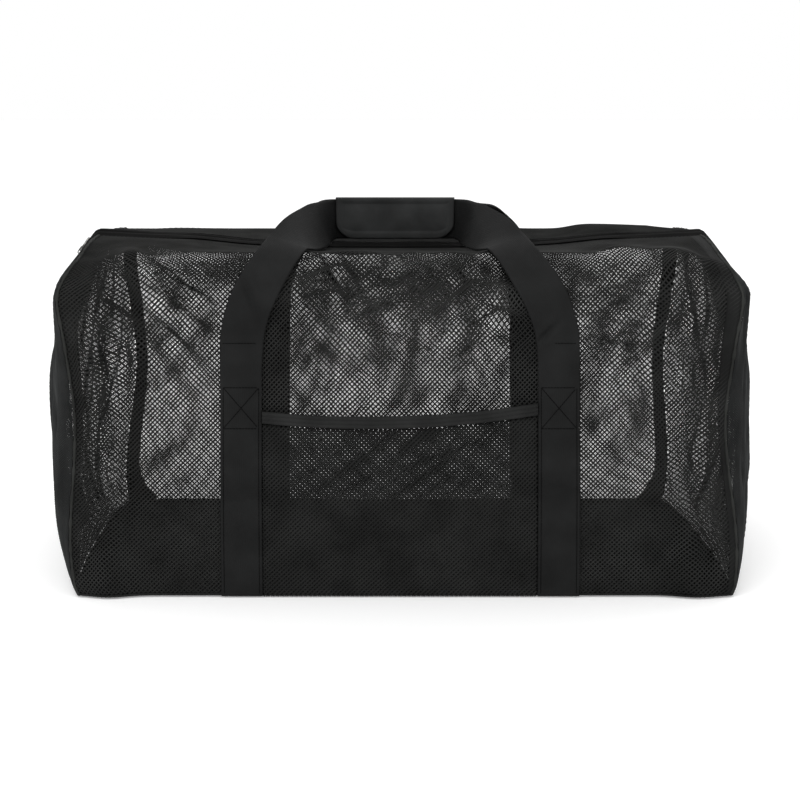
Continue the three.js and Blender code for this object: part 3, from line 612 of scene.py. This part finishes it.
# place across and up, direction, reach, breadth, strength
END_TUCKS = [
    (-0.15, 0.2, 88, 0.16, 0.014, 0.8), (-0.1, 0.24, 80, 0.12, 0.012, 0.7), (-0.04, 0.16, 95, 0.14, 0.014, 0.7),
    (0.03, 0.22, 86, 0.13, 0.012, 0.8), (0.09, 0.18, 92, 0.14, 0.014, 0.7), (0.14, 0.26, 84, 0.1, 0.012, 0.8),
    (0.0, 0.34, 10, 0.12, 0.03, 0.8), (-0.1, 0.05, 60, 0.05, 0.012, 0.6), (0.1, 0.06, 120, 0.06, 0.012, 0.6),
] + smudges(49, 50, (-0.18, 0.18), (0.02, 0.36), (60, 120), (0.3, 0.8))
# The end nets' yarn is coloured lighter than the walls' same net: painted sheen, standing in for the grey highlights
# the ends catch at a slant.
end_net_painted_sheen_finish = black_cloth("end_net_yarn_painted_sheen", (0.024, 0.025, 0.025), 0.65, 0.08)
for end_name, side, seed in (("left", -1, 31), ("right", 1, 33)):
    creases = slack(seed, 40, (-0.18, 0.18), (0.03, 0.37), (70, 110))
    end_cloth = net_cloth(
        end_name + "_end_net", end_kept, end_net(side, creases), side, (-HALF_DEPTH, HALF_DEPTH), (FOOT, HEIGHT),
        pitch=END_PITCH, width=END_STRAND, spacing=END_STEP, tucks=END_TUCKS, bunching=END_BUNCHING
    )
    end_cloth.data.materials.append(end_net_painted_sheen_finish)
    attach(end_cloth, "bag")
    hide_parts(end_name + "_end_panel")

# Seam bindings: black tape folded over each end seam, inside the bag, from
# the foot in front over the top and down behind.
BINDING_WIDTH = 0.017
BINDING_THICKNESS = 0.0016
BINDING_STEPS = 180
# the tape in front lies folded narrower below and opens between two heights
NARROW_SHARE, OPENING_RUN = 0.5, (0.14, 0.34)
# the tape behind spreads at the foot
FOOT_SPREAD, FOOT_SPREAD_RUN = 1.3, 0.028
RUN_TOP = PATH_RUN - SLIT_HALF
OFF_STEP = 0.001


def wall_off(along, run, side, folds, distance):
    """A point off a wall's outer face, square to its section."""
    above, below = (wall_surface(along, run + step, side, folds) for step in (OFF_STEP, -OFF_STEP))
    rise = above - below
    normal = np.stack([0 * rise[..., 0], side * rise[..., 2], -side * rise[..., 1]], axis=-1)
    normal /= np.linalg.norm(normal, axis=-1, keepdims=True)
    return wall_surface(along, run, side, folds) + normal * np.asarray(distance)[..., None]


binding_finish = black_cloth("binding_tape", (0.009, 0.0092, 0.009), 0.7, 0.08)
add_weave(binding_finish, "UV", (5, 500), 0.5)
for end_name, end in (("left", -1), ("right", 1)):

    def binding_place(across, along, end=end):
        way = 2 * along - 1
        run = FOOT + (1 - np.abs(way)) * (RUN_TOP - FOOT)
        in_front = NARROW_SHARE + (1 - NARROW_SHARE) * smooth(run, *OPENING_RUN)
        broad = np.where(way < 0, in_front, 1 + FOOT_SPREAD * np.exp(-((run / FOOT_SPREAD_RUN) ** 2)))
        share = end * (1 - across * broad * BINDING_WIDTH / HALF_LENGTH)
        depth = -(CLOTH + GAP) * np.ones_like(run)
        front = wall_off(share, run, -1, FRONT_FOLDS, depth)
        back = wall_off(share, run, 1, BACK_FOLDS, depth)
        return np.where((way < 0)[:, None], front, back)

    tape = cloth_shell(end_name + "_seam_tape", 3, BINDING_STEPS, binding_place, BINDING_THICKNESS)
    tape.data.materials.append(binding_finish)
    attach(tape, "bag")
    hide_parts("seam_binding_" + end_name)

# Seam rolls: the raw edges of wall and end, rolled together and overcast
# outside each end seam, a little uneven where the net is gathered.
ROLL_WIDTH = 0.0032
ROLL_THICKNESS = 0.0026
ROLL_STEPS = 300
ROLL_SIDES = 8
ROLL_SINK = 0.0006
ROLL_INWARD = 0.0008
ROLL_SHORT = 0.02
# how uneven a roll is, and its two waves for each metre
UNEVEN, UNEVEN_WAVES = 0.35, (310, 97)


def loft(name, rings):
    """A closed tube through rings of points, (count, sides, 3), its faces turned out."""
    count, sides, _ = rings.shape
    side_at = np.arange(sides)[None, :]
    a = (np.arange(count - 1)[:, None] * sides + side_at).ravel()
    b = (np.arange(count - 1)[:, None] * sides + (side_at + 1) % sides).ravel()
    faces = np.stack([a, b, b + sides, a + sides], axis=1).tolist()
    faces.append(list(range(sides))[::-1])
    faces.append([(count - 1) * sides + i for i in range(sides)])
    tube = mesh_piece(name, rings.reshape(-1, 3), faces)
    face_outwards(tube)
    bpy.ops.object.shade_smooth()
    return tube


roll_finish = black_cloth("seam_roll", (0.022, 0.0228, 0.0215), 0.7, 0.08)
for end_name, end in (("left", -1), ("right", 1)):
    for wall_name, side, folds in (("front", -1, FRONT_FOLDS), ("back", 1, BACK_FOLDS)):
        run = np.linspace(FOOT, PATH_RUN - ROLL_SHORT, ROLL_STEPS)
        seam, at_face = end + 0 * run, 0 * run
        uneven = 1 + UNEVEN * np.sin(run * UNEVEN_WAVES[0] + end) * np.sin(run * UNEVEN_WAVES[1] + side)
        middle = wall_off(seam, run, side, folds, at_face - ROLL_SINK) - np.array([end * ROLL_INWARD, 0, 0])
        over = wall_off(seam, run, side, folds, at_face + OFF_STEP) - wall_off(seam, run, side, folds, at_face)
        over /= np.linalg.norm(over, axis=1, keepdims=True)
        rings = np.stack([
            middle + over * (math.sin(a) * ROLL_THICKNESS / 2 * uneven)[:, None]
            + np.array([1, 0, 0]) * (math.cos(a) * ROLL_WIDTH / 2 * uneven)[:, None]
            for a in np.arange(ROLL_SIDES) * 2 * math.pi / ROLL_SIDES
        ], axis=1)
        roll = loft(f"{end_name}_{wall_name}_seam_roll", rings)
        roll.data.materials.append(roll_finish)
        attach(roll, "bag")

# Zipper tapes: two woven tapes sewn under the edges of the net, over the top
# and down both shoulders.
COIL_WIDTH = 0.0064
LIP_HEIGHT = 0.003
LIP_PLACE = 0.0052
LIP_BREADTH = 0.0018
# how uneven the lip is, and its two waves along the zipper
LIP_SLACK, LIP_WAVES = 0.3, (31, 13)
TAPE_WIDTH = 0.016
TAPE_THICKNESS = 0.0012
TAPE_INNER = 0.0006
TAPE_LIE = 0.0016
TAPE_STEPS = 400
# the outer edge lies down, and lower past the shoulders
OUTER_EDGE = 0.007
SHOULDER_LIE = 0.002
SHOULDER_SHARES = (0.28, 0.36)
# share of the half length on which the zipper runs over the top
LEVEL_SHARE = 0.955
TAPE_BREADTH = TAPE_WIDTH + COIL_WIDTH / 2 + GAP - TAPE_INNER

shoulder = (WALL_RUN + TOP_RADIUS * np.sin(np.linspace(0, math.pi / 2, 24))) / HEIGHT
corner_lift = 2 * GAP * math.sqrt(0.5)
left_line = end_surface(0 * shoulder, shoulder, -1) + np.array([-corner_lift, 0, corner_lift])
right_line = end_surface(0 * shoulder, shoulder, 1) + np.array([corner_lift, 0, corner_lift])
share = np.linspace(-LEVEL_SHARE, LEVEL_SHARE, 180)
top_line = wall_surface(share, 0 * share + PATH_RUN, -1, FRONT_FOLDS) + np.array([0, 0, 2 * GAP])
zipper_line = np.concatenate([left_line, top_line, right_line[::-1]])[:, [0, 2]]
zipper_run = np.concatenate([[0], np.cumsum(np.linalg.norm(np.diff(zipper_line, axis=0), axis=1))])


def zipper_spot(along, y, height):
    """A point beside and over the zipper's line; along is 0 to 1 from the left foot to the right."""
    s = along * zipper_run[-1]
    step = 0.004
    x, z = (np.interp(s, zipper_run, zipper_line[:, i]) for i in (0, 1))
    go_x, go_z = (
        np.interp(s + step, zipper_run, zipper_line[:, i]) - np.interp(s - step, zipper_run, zipper_line[:, i])
        for i in (0, 1)
    )
    length = np.hypot(go_x, go_z)
    return np.stack([x - go_z / length * height, y + 0 * x, z + go_x / length * height], axis=-1)


tape_finish = black_cloth("zipper_tape", (0.006, 0.006, 0.0059), 0.75, 0.05)
add_weave(tape_finish, "UV", (14, 900), 0.5)
for tape_name, side in (("front", -1), ("back", 1)):

    def tape_place(across, along, side=side):
        from_coil = (1 - across) * TAPE_BREADTH
        y = side * (TAPE_INNER + from_coil)
        uneven = 1 - LIP_SLACK + LIP_SLACK * np.sin(along * LIP_WAVES[0] + side) * np.sin(along * LIP_WAVES[1])
        lip = LIP_HEIGHT * uneven * np.exp(-(((from_coil - LIP_PLACE) / LIP_BREADTH) ** 2))
        at = along if side < 0 else 1 - along
        past_shoulder = smooth(np.abs(at - 0.5), *SHOULDER_SHARES)
        outer = smooth(from_coil, TAPE_BREADTH - OUTER_EDGE, TAPE_BREADTH)
        lie = (TAPE_LIE + SHOULDER_LIE * past_shoulder) * outer
        return zipper_spot(at, y, TAPE_THICKNESS + lip - lie)

    tape = cloth_shell("zipper_tape_cloth_" + tape_name, 20, TAPE_STEPS, tape_place, TAPE_THICKNESS)
    tape.data.materials.append(tape_finish)
    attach(tape, "bag")
    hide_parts("zipper_tape_" + tape_name)

# Coil: the closed black nylon coil, woven to the inner edges of the tapes and
# drawn as one bar with two rings to a tooth.
COIL_THICKNESS = 0.003
TOOTH_PITCH = 0.0017
TOOTH_WAIST = 0.72

ring_at = np.arange(0, zipper_run[-1], TOOTH_PITCH / 2) / zipper_run[-1]
grown = np.where(np.arange(len(ring_at)) % 2 == 0, 1.0, TOOTH_WAIST)
# across and over, in coil widths and thicknesses
section = np.array([
    (-0.5, -0.3), (-0.3, -0.5), (0.3, -0.5), (0.5, -0.3), (0.5, 0.2), (0.32, 0.5), (0.06, 0.36), (-0.06, 0.36),
    (-0.32, 0.5), (-0.5, 0.2),
])
coil_rings = np.stack([
    zipper_spot(ring_at, y * COIL_WIDTH * grown, TAPE_THICKNESS / 2 + h * COIL_THICKNESS * grown) for y, h in section
], axis=1)
coil_finish = black_cloth("coil_nylon", (0.009, 0.009, 0.009), 0.6, 0.1)
coil = loft("zipper_teeth", coil_rings)
coil.data.materials.append(coil_finish)
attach(coil, "bag")
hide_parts("zipper_coil")

# Slider and pull: dark gunmetal cast zinc with bright patches in its colour that are
# painted glints, near the left end of the zipper. Their meshes are the CAD's own.
metal = bpy.data.materials.new("zipper_metal")
metal.use_nodes = True
metal_tree = metal.node_tree
metal_shader = metal_tree.nodes["Principled BSDF"]
metal_shader.inputs["Metallic"].default_value = 1
glint_patches = metal_tree.nodes.new("ShaderNodeTexNoise")
glint_patches.inputs["Scale"].default_value = 260
glint_patch_place = metal_tree.nodes.new("ShaderNodeTexCoord")
metal_tree.links.new(glint_patch_place.outputs["Object"], glint_patches.inputs["Vector"])
glint_patch_roughness = metal_tree.nodes.new("ShaderNodeMapRange")
glint_patch_roughness.inputs["To Min"].default_value = 0.22
glint_patch_roughness.inputs["To Max"].default_value = 0.5
metal_tree.links.new(glint_patches.outputs["Fac"], glint_patch_roughness.inputs["Value"])
metal_tree.links.new(glint_patch_roughness.outputs["Result"], metal_shader.inputs["Roughness"])
# Base colour from dark gunmetal to bright patches; the bright patches are painted glints.
gunmetal_and_painted_glints = metal_tree.nodes.new("ShaderNodeValToRGB")
gunmetal_and_painted_glints.color_ramp.elements[0].position = 0.42
gunmetal_and_painted_glints.color_ramp.elements[0].color = (0.05, 0.05, 0.05, 1)
gunmetal_and_painted_glints.color_ramp.elements[1].position = 0.62
gunmetal_and_painted_glints.color_ramp.elements[1].color = (0.5, 0.5, 0.48, 1)
metal_tree.links.new(glint_patches.outputs["Fac"], gunmetal_and_painted_glints.inputs["Fac"])
metal_tree.links.new(gunmetal_and_painted_glints.outputs["Color"], metal_shader.inputs["Base Color"])
for name in ("zipper_slider", "zipper_pull"):
    nodes[name].material_slots[0].material = metal

# Pocket: a second layer of the same net between the front straps, its mouth
# standing a little open.
POCKET_HEIGHT = 0.206
POCKET_TILT = 0.0047
POCKET_SAG = 0.0083
POCKET_MOUTH = 0.009
POCKET_HALF = STRAP_CENTRE - STRAP_WIDTH / 2 - GAP
POCKET_STRAND = 0.0031
# how high the strands are laid before the mouth cuts them
POCKET_REACH = 0.225


def pocket_top(u):
    """How high the pocket's mouth is, lower in its middle."""
    t = u / POCKET_HALF
    return POCKET_HEIGHT + POCKET_TILT * t + POCKET_SAG * t * t


def pocket_stand(u, run):
    """How far the pocket stands off the wall."""
    return GAP + POCKET_MOUTH * (1 - (u / POCKET_HALF) ** 2) * smooth(run, 0, POCKET_HEIGHT)


def pocket_place(u, v):
    return wall_off(u / HALF_LENGTH, v, -1, FRONT_FOLDS, pocket_stand(u, v) + CLOTH / 2)


def pocket_kept(u, v):
    return (np.abs(u) <= POCKET_HALF) & (v >= FOOT) & (v <= pocket_top(u))


pocket_net = net_cloth(
    "pocket_net", pocket_kept, pocket_place, 1, (-POCKET_HALF, POCKET_HALF), (FOOT, POCKET_REACH), width=POCKET_STRAND
)
pocket_finish = black_cloth("pocket_net_yarn", (0.0135, 0.0137, 0.0133), 0.65, 0.06)
pocket_net.data.materials.append(pocket_finish)
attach(pocket_net, "bag")
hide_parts("pocket_panel")

# Pocket binding: ribbed tape folded over the pocket's mouth and sewn along
# two lines.
POCKET_BINDING_HEIGHT = 0.014
POCKET_BINDING_THICKNESS = 0.0032
MOUTH_RIB = 0.0011
MOUTH_EDGE = 0.0009
MOUTH_GAP = 0.0006


def pocket_binding_place(across, along):
    u = (2 * across - 1) * POCKET_HALF
    run = pocket_top(u) + GAP + along * POCKET_BINDING_HEIGHT
    rib = MOUTH_RIB * np.abs(np.sin(3 * math.pi * along)) - MOUTH_EDGE * (np.abs(2 * along - 1) ** 6)
    stand = pocket_stand(u, 0 * u + POCKET_HEIGHT) + POCKET_BINDING_THICKNESS + rib
    return wall_off(u / HALF_LENGTH, run, -1, FRONT_FOLDS, stand)


pocket_tape = cloth_shell("pocket_mouth_tape", 80, 18, pocket_binding_place, POCKET_BINDING_THICKNESS - MOUTH_GAP)
mouth_finish = black_cloth("mouth_tape", (0.0155, 0.0158, 0.0155), 0.7, 0.1)
add_weave(mouth_finish, "UV", (5, 500), 0.5)
pocket_tape.data.materials.append(mouth_finish)
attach(pocket_tape, "bag")
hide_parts("pocket_binding")

# Handles: one length of nominal two inch webbing on each wall, sewn from the
# foot up, free above and gathered upright into the grip.
STRAP_THICKNESS = 0.0018
SEWN_HEIGHT = 0.254
GRIP_LENGTH = 0.145
GRIP_SHIFT = -0.006
GRIP_HEIGHT = 0.048
GRIP_THICKNESS = 0.003
GRIP_CLEARANCE = 0.006
SEWN_STEPS = 80
FREE_STEPS = 100
FREE_WIDTH = 0.965
FREE_NARROWS = (0, 0.2)
# over, inward, stand: shares of the way from the wall to the grip; turn, lift: degrees
HANDLE_LINE = [
    (0.0, 0.0, 0.0, 0, 0), (0.1, 0.01, 0.02, 3, 0), (0.2, 0.04, 0.04, 9, 0), (0.3, 0.14, 0.06, 22, 0),
    (0.41, 0.32, 0.1, 35, 2), (0.523, 0.49, 0.2, 44, 14), (0.67, 0.66, 0.49, 55, 50), (0.84, 0.83, 0.78, 67, 75),
    (0.94, 0.9, 0.94, 78, 86), (1.0, 1.0, 1.0, 90, 90),
]
GRIP_MIDDLE = HEIGHT + float(top_rise(0.0)) + COIL_THICKNESS + GRIP_CLEARANCE + GRIP_HEIGHT / 2
STRAP_DEPTH = STRAP_THICKNESS / 2 + GAP / 2
# how far the front handle's outer edge stands out and up near the grip
OUTER_EDGE_OUT = 0.003
OUTER_EDGE_UP = 0.006
OUTER_EDGE_RISE, OUTER_EDGE_FALL = (0.42, 0.72), (0.82, 0.98)
STITCH_LENGTH = 0.0034
STITCH_GAP = 0.0003
STITCH_WIDTH = 0.0009
STITCH_RISE = 0.0005
EDGE_SEAM = 0.0035
BOX_HEIGHT = 0.05
TOP_SEAM = 0.3
SEAM_POINTS = 60
SEAM_LIFT = 0.0002
FREE_SEAM_LIFT = 0.0012
# how much of a crease on the shoulder goes inwards, and how much down
ON_SHOULDER = 0.7
# creases of the front handle: place across and up on the bag, direction, reach, breadth, depth
STRAP_CREASES = [
    (-0.165, 0.354, 114, 0.026, 0.003, 0.0045), (-0.157, 0.352, 114, 0.026, 0.005, -0.0025),
    (0.1625, 0.312, 45, 0.018, 0.003, 0.0042), (0.168, 0.306, 45, 0.018, 0.005, -0.002),
    (-0.183, 0.12, 8, 0.022, 0.004, 0.002), (0.183, 0.135, -12, 0.022, 0.004, 0.002),
]


def handle_rows(side, folds, end):
    """Edge points of one side of a handle, from the foot to the grip: outer edge, inner edge."""
    shares = [(STRAP_CENTRE + e * STRAP_WIDTH / 2) / HALF_LENGTH for e in (1, -1)]
    runs = np.linspace(FOOT, SEWN_HEIGHT, SEWN_STEPS)
    top_face = GAP + STRAP_THICKNESS
    sewn = np.stack([wall_off(end * s + 0 * runs, runs, side, folds, top_face + 0 * runs) for s in shares], axis=1)
    over = np.linspace(0, 1, FREE_STEPS + 1)
    inward, stand, turn, lift = (read_line([(row[0], row[k]) for row in HANDLE_LINE], over) for k in (1, 2, 3, 4))
    grip_end = GRIP_LENGTH / 2 + GRIP_THICKNESS + end * GRIP_SHIFT
    grip_stand = GRIP_MIDDLE - HEIGHT - top_rise(grip_end / HALF_LENGTH)
    seat = GAP + STRAP_THICKNESS / 2
    along = end * (STRAP_CENTRE + (grip_end - STRAP_CENTRE) * inward) / HALF_LENGTH
    run = SEWN_HEIGHT + (PATH_RUN - STRAP_DEPTH - SEWN_HEIGHT) * over
    lean = np.clip((run - WALL_RUN) / TOP_RADIUS, 0, math.pi / 2)
    p = wall_off(along, run, side, folds, seat + (grip_stand - seat) * stand)
    turn, tilt = np.radians(turn), np.radians(lift) - lean
    after = np.concatenate([p[2:], p[-1:] * np.array([0, 1, 1])])
    go = after - p[:-1]
    go /= np.linalg.norm(go, axis=1, keepdims=True)
    wide = [-end * np.cos(turn), -side * np.sin(turn) * np.sin(tilt), -np.sin(turn) * np.cos(tilt)]
    wide = np.stack(wide, axis=1)[1:]
    wide -= go * np.sum(wide * go, axis=1, keepdims=True)
    wide /= np.linalg.norm(wide, axis=1, keepdims=True)
    out = np.cross(go, wide) * -end * side
    half = STRAP_WIDTH / 2 * (FREE_WIDTH + (1 - FREE_WIDTH) * smooth(over[1:], *FREE_NARROWS))[:, None]
    face = p[1:] + out * STRAP_THICKNESS / 2
    free = np.stack([face - wide * half, face + wide * half], axis=1)
    if side < 0:
        raised = smooth(over[1:], *OUTER_EDGE_RISE) * (1 - smooth(over[1:], *OUTER_EDGE_FALL))
        free[:, 0] += raised[:, None] * np.array([end * OUTER_EDGE_OUT, 0, OUTER_EDGE_UP])
    return np.concatenate([sewn, free])


def stitches(name, lines, out):
    """Thread along each line of points: one short raised bar for each stitch."""
    corners = []
    for line in lines:
        at = np.concatenate([[0], np.cumsum(np.linalg.norm(np.diff(line, axis=0), axis=1))])
        starts = np.arange(0, at[-1] - STITCH_LENGTH, STITCH_LENGTH)
        ends = [
            np.stack([np.interp(starts + shift, at, line[:, i]) for i in range(3)], axis=1)
            for shift in (STITCH_GAP, STITCH_LENGTH - STITCH_GAP)
        ]
        aside = np.cross(ends[1] - ends[0], out)
        aside *= STITCH_WIDTH / 2 / np.linalg.norm(aside, axis=1, keepdims=True)
        corners.append(np.stack([p + s for p in ends for s in (aside, -aside, out * STITCH_RISE)], axis=1))
    points = np.concatenate(corners).reshape(-1, 3)
    base = np.arange(0, len(points), 6)[:, None]
    sides = [[0, 1, 4, 3], [1, 2, 5, 4], [2, 0, 3, 5]]
    faces = [row for side_faces in sides for row in (base + side_faces).tolist()]
    faces += (base + [0, 2, 1]).tolist() + (base + [3, 4, 5]).tolist()
    thread = mesh_piece(name, points, faces)
    face_outwards(thread)
    return thread


def sewn_lines(side, folds, end):
    """A strap's seams: one along each edge, a box at the top of the sewn length and a cross in it."""
    low, high = SEWN_HEIGHT - BOX_HEIGHT, SEWN_HEIGHT - EDGE_SEAM
    near, far = -STRAP_WIDTH / 2 + EDGE_SEAM, STRAP_WIDTH / 2 - EDGE_SEAM
    marks = [
        ((near, FOOT + EDGE_SEAM), (near, high)), ((far, FOOT + EDGE_SEAM), (far, high)), ((near, high), (far, high)),
        ((near, low), (far, low)), ((near, low), (far, high)), ((near, high), (far, low)),
        ((near, TOP_SEAM), (far, TOP_SEAM)),
    ]
    lines = []
    for (u0, v0), (u1, v1) in marks:
        t = np.linspace(0, 1, SEAM_POINTS)
        share = (end * STRAP_CENTRE + u0 + (u1 - u0) * t) / HALF_LENGTH
        off = GAP + STRAP_THICKNESS + (FREE_SEAM_LIFT if v0 > SEWN_HEIGHT else SEAM_LIFT)
        lines.append(wall_off(share, v0 + (v1 - v0) * t, side, folds, off + 0 * t))
    return lines


thread_finish = black_cloth("strap_thread", (0.0052, 0.0052, 0.0052), 0.8, 0.02)
strap_finish = black_cloth("webbing", (0.0078, 0.008, 0.008), 0.6, 0.1)
add_weave(strap_finish, "UV", (22, 900), 0.45)
for handle_name, side, folds in (("front", -1, FRONT_FOLDS), ("back", 1, BACK_FOLDS)):
    edges = np.concatenate([handle_rows(side, folds, -1), handle_rows(side, folds, 1)[::-1]])

    def strap_place(across, along, edges=edges, side=side):
        at = np.rint(along * (len(edges) - 1)).astype(int)
        t = across if side < 0 else 1 - across
        p = edges[at, 0] * (1 - t)[:, None] + edges[at, 1] * t[:, None]
        for x0, z0, turn, reach, breadth, depth in STRAP_CREASES if side < 0 else ():
            c, s = math.cos(math.radians(turn)), math.sin(math.radians(turn))
            lengthwise, aside = (p[:, 0] - x0) * c + (p[:, 2] - z0) * s, (p[:, 2] - z0) * c - (p[:, 0] - x0) * s
            sunk = depth * np.exp(-((lengthwise / reach) ** 2) - (aside / breadth) ** 2)
            p[:, 1] += sunk * (ON_SHOULDER if z0 > WALL_RUN else 1)
            p[:, 2] -= sunk * (ON_SHOULDER if z0 > WALL_RUN else 0)
        return p

    strap = cloth_shell(handle_name + "_strap", 20, len(edges) - 1, strap_place, STRAP_THICKNESS)
    strap.data.materials.append(strap_finish)
    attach(strap, "bag")
    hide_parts(handle_name + "_handle")
    seams = sewn_lines(side, folds, -1) + sewn_lines(side, folds, 1)
    thread = stitches(handle_name + "_strap_stitches", seams, np.array([0.0, side, 0.0]))
    thread.data.materials.append(thread_finish)
    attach(thread, "bag")

# Grip: a padded wrap folded over both handles and closed below, its rim
# bound with tape and its free corners rounded.
GRIP_CORNER = 0.024
GRIP_RIM = 0.008
GRIP_ARCH = 0.35
GRIP_ROUND = 0.92
FACE_START = 0.2
FOLD_EDGE = 0.004
RIM_STEP = 0.0011
RIM_SLOPE = 0.001
RIM_ROUND = 0.0015
RIM_ROUND_REACH = 0.002
PAD_RISE = 0.0008
PAD_REACH = 0.02
WRAP_IN = (STRAP_THICKNESS + 2 * GAP) / 2 + 2 * GAP + STRAP_THICKNESS / 2
WRAP_OUT = WRAP_IN + GRIP_THICKNESS
WRAP_TOP = GRIP_HEIGHT / 2 + GAP
WRAP_CLOTH = GRIP_THICKNESS - 0.0012


def grip_place(across, along):
    x = (across - 0.5) * GRIP_LENGTH
    past = np.maximum(0, np.abs(x) - (GRIP_LENGTH / 2 - GRIP_CORNER))
    low = -WRAP_TOP + GRIP_ROUND * (GRIP_CORNER - np.sqrt(np.maximum(0, GRIP_CORNER**2 - past**2)))
    way = np.abs(2 * along - 1)
    in_face = np.clip((way - FACE_START) / (1 - FACE_START), 0, 1)
    turn = np.clip((along - 0.5) / FACE_START + 0.5, 0, 1) * math.pi
    z = WRAP_TOP + (low - WRAP_TOP) * in_face
    face_out = -np.cos(turn)
    from_fold = np.where(in_face > 0, WRAP_TOP - z, 0) + FOLD_EDGE
    from_edge = np.minimum(np.minimum(GRIP_LENGTH / 2 - np.abs(x), z - low), from_fold)
    inset = smooth(from_edge, GRIP_RIM - RIM_SLOPE, GRIP_RIM + RIM_SLOPE)
    corner_round = RIM_ROUND * smooth(RIM_ROUND_REACH - from_edge, 0, RIM_ROUND_REACH)
    pad = PAD_RISE * inset * smooth(from_edge, GRIP_RIM, PAD_REACH)
    swell = WRAP_OUT - RIM_STEP * inset + pad - corner_round
    arch = np.sin(turn) * WRAP_OUT * GRIP_ARCH
    return np.stack([GRIP_SHIFT + x, face_out * swell, GRIP_MIDDLE + z + arch], axis=1)


grip_finish = black_cloth("grip_cloth", (0.025, 0.0258, 0.0258), 0.75, 0.1)
add_weave(grip_finish, "Object", (700, 700), 0.5)
grip = cloth_shell("grip_wrap", 96, 90, grip_place, WRAP_CLOTH)
grip.data.materials.append(grip_finish)
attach(grip, "bag")
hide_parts("handle_wrap")
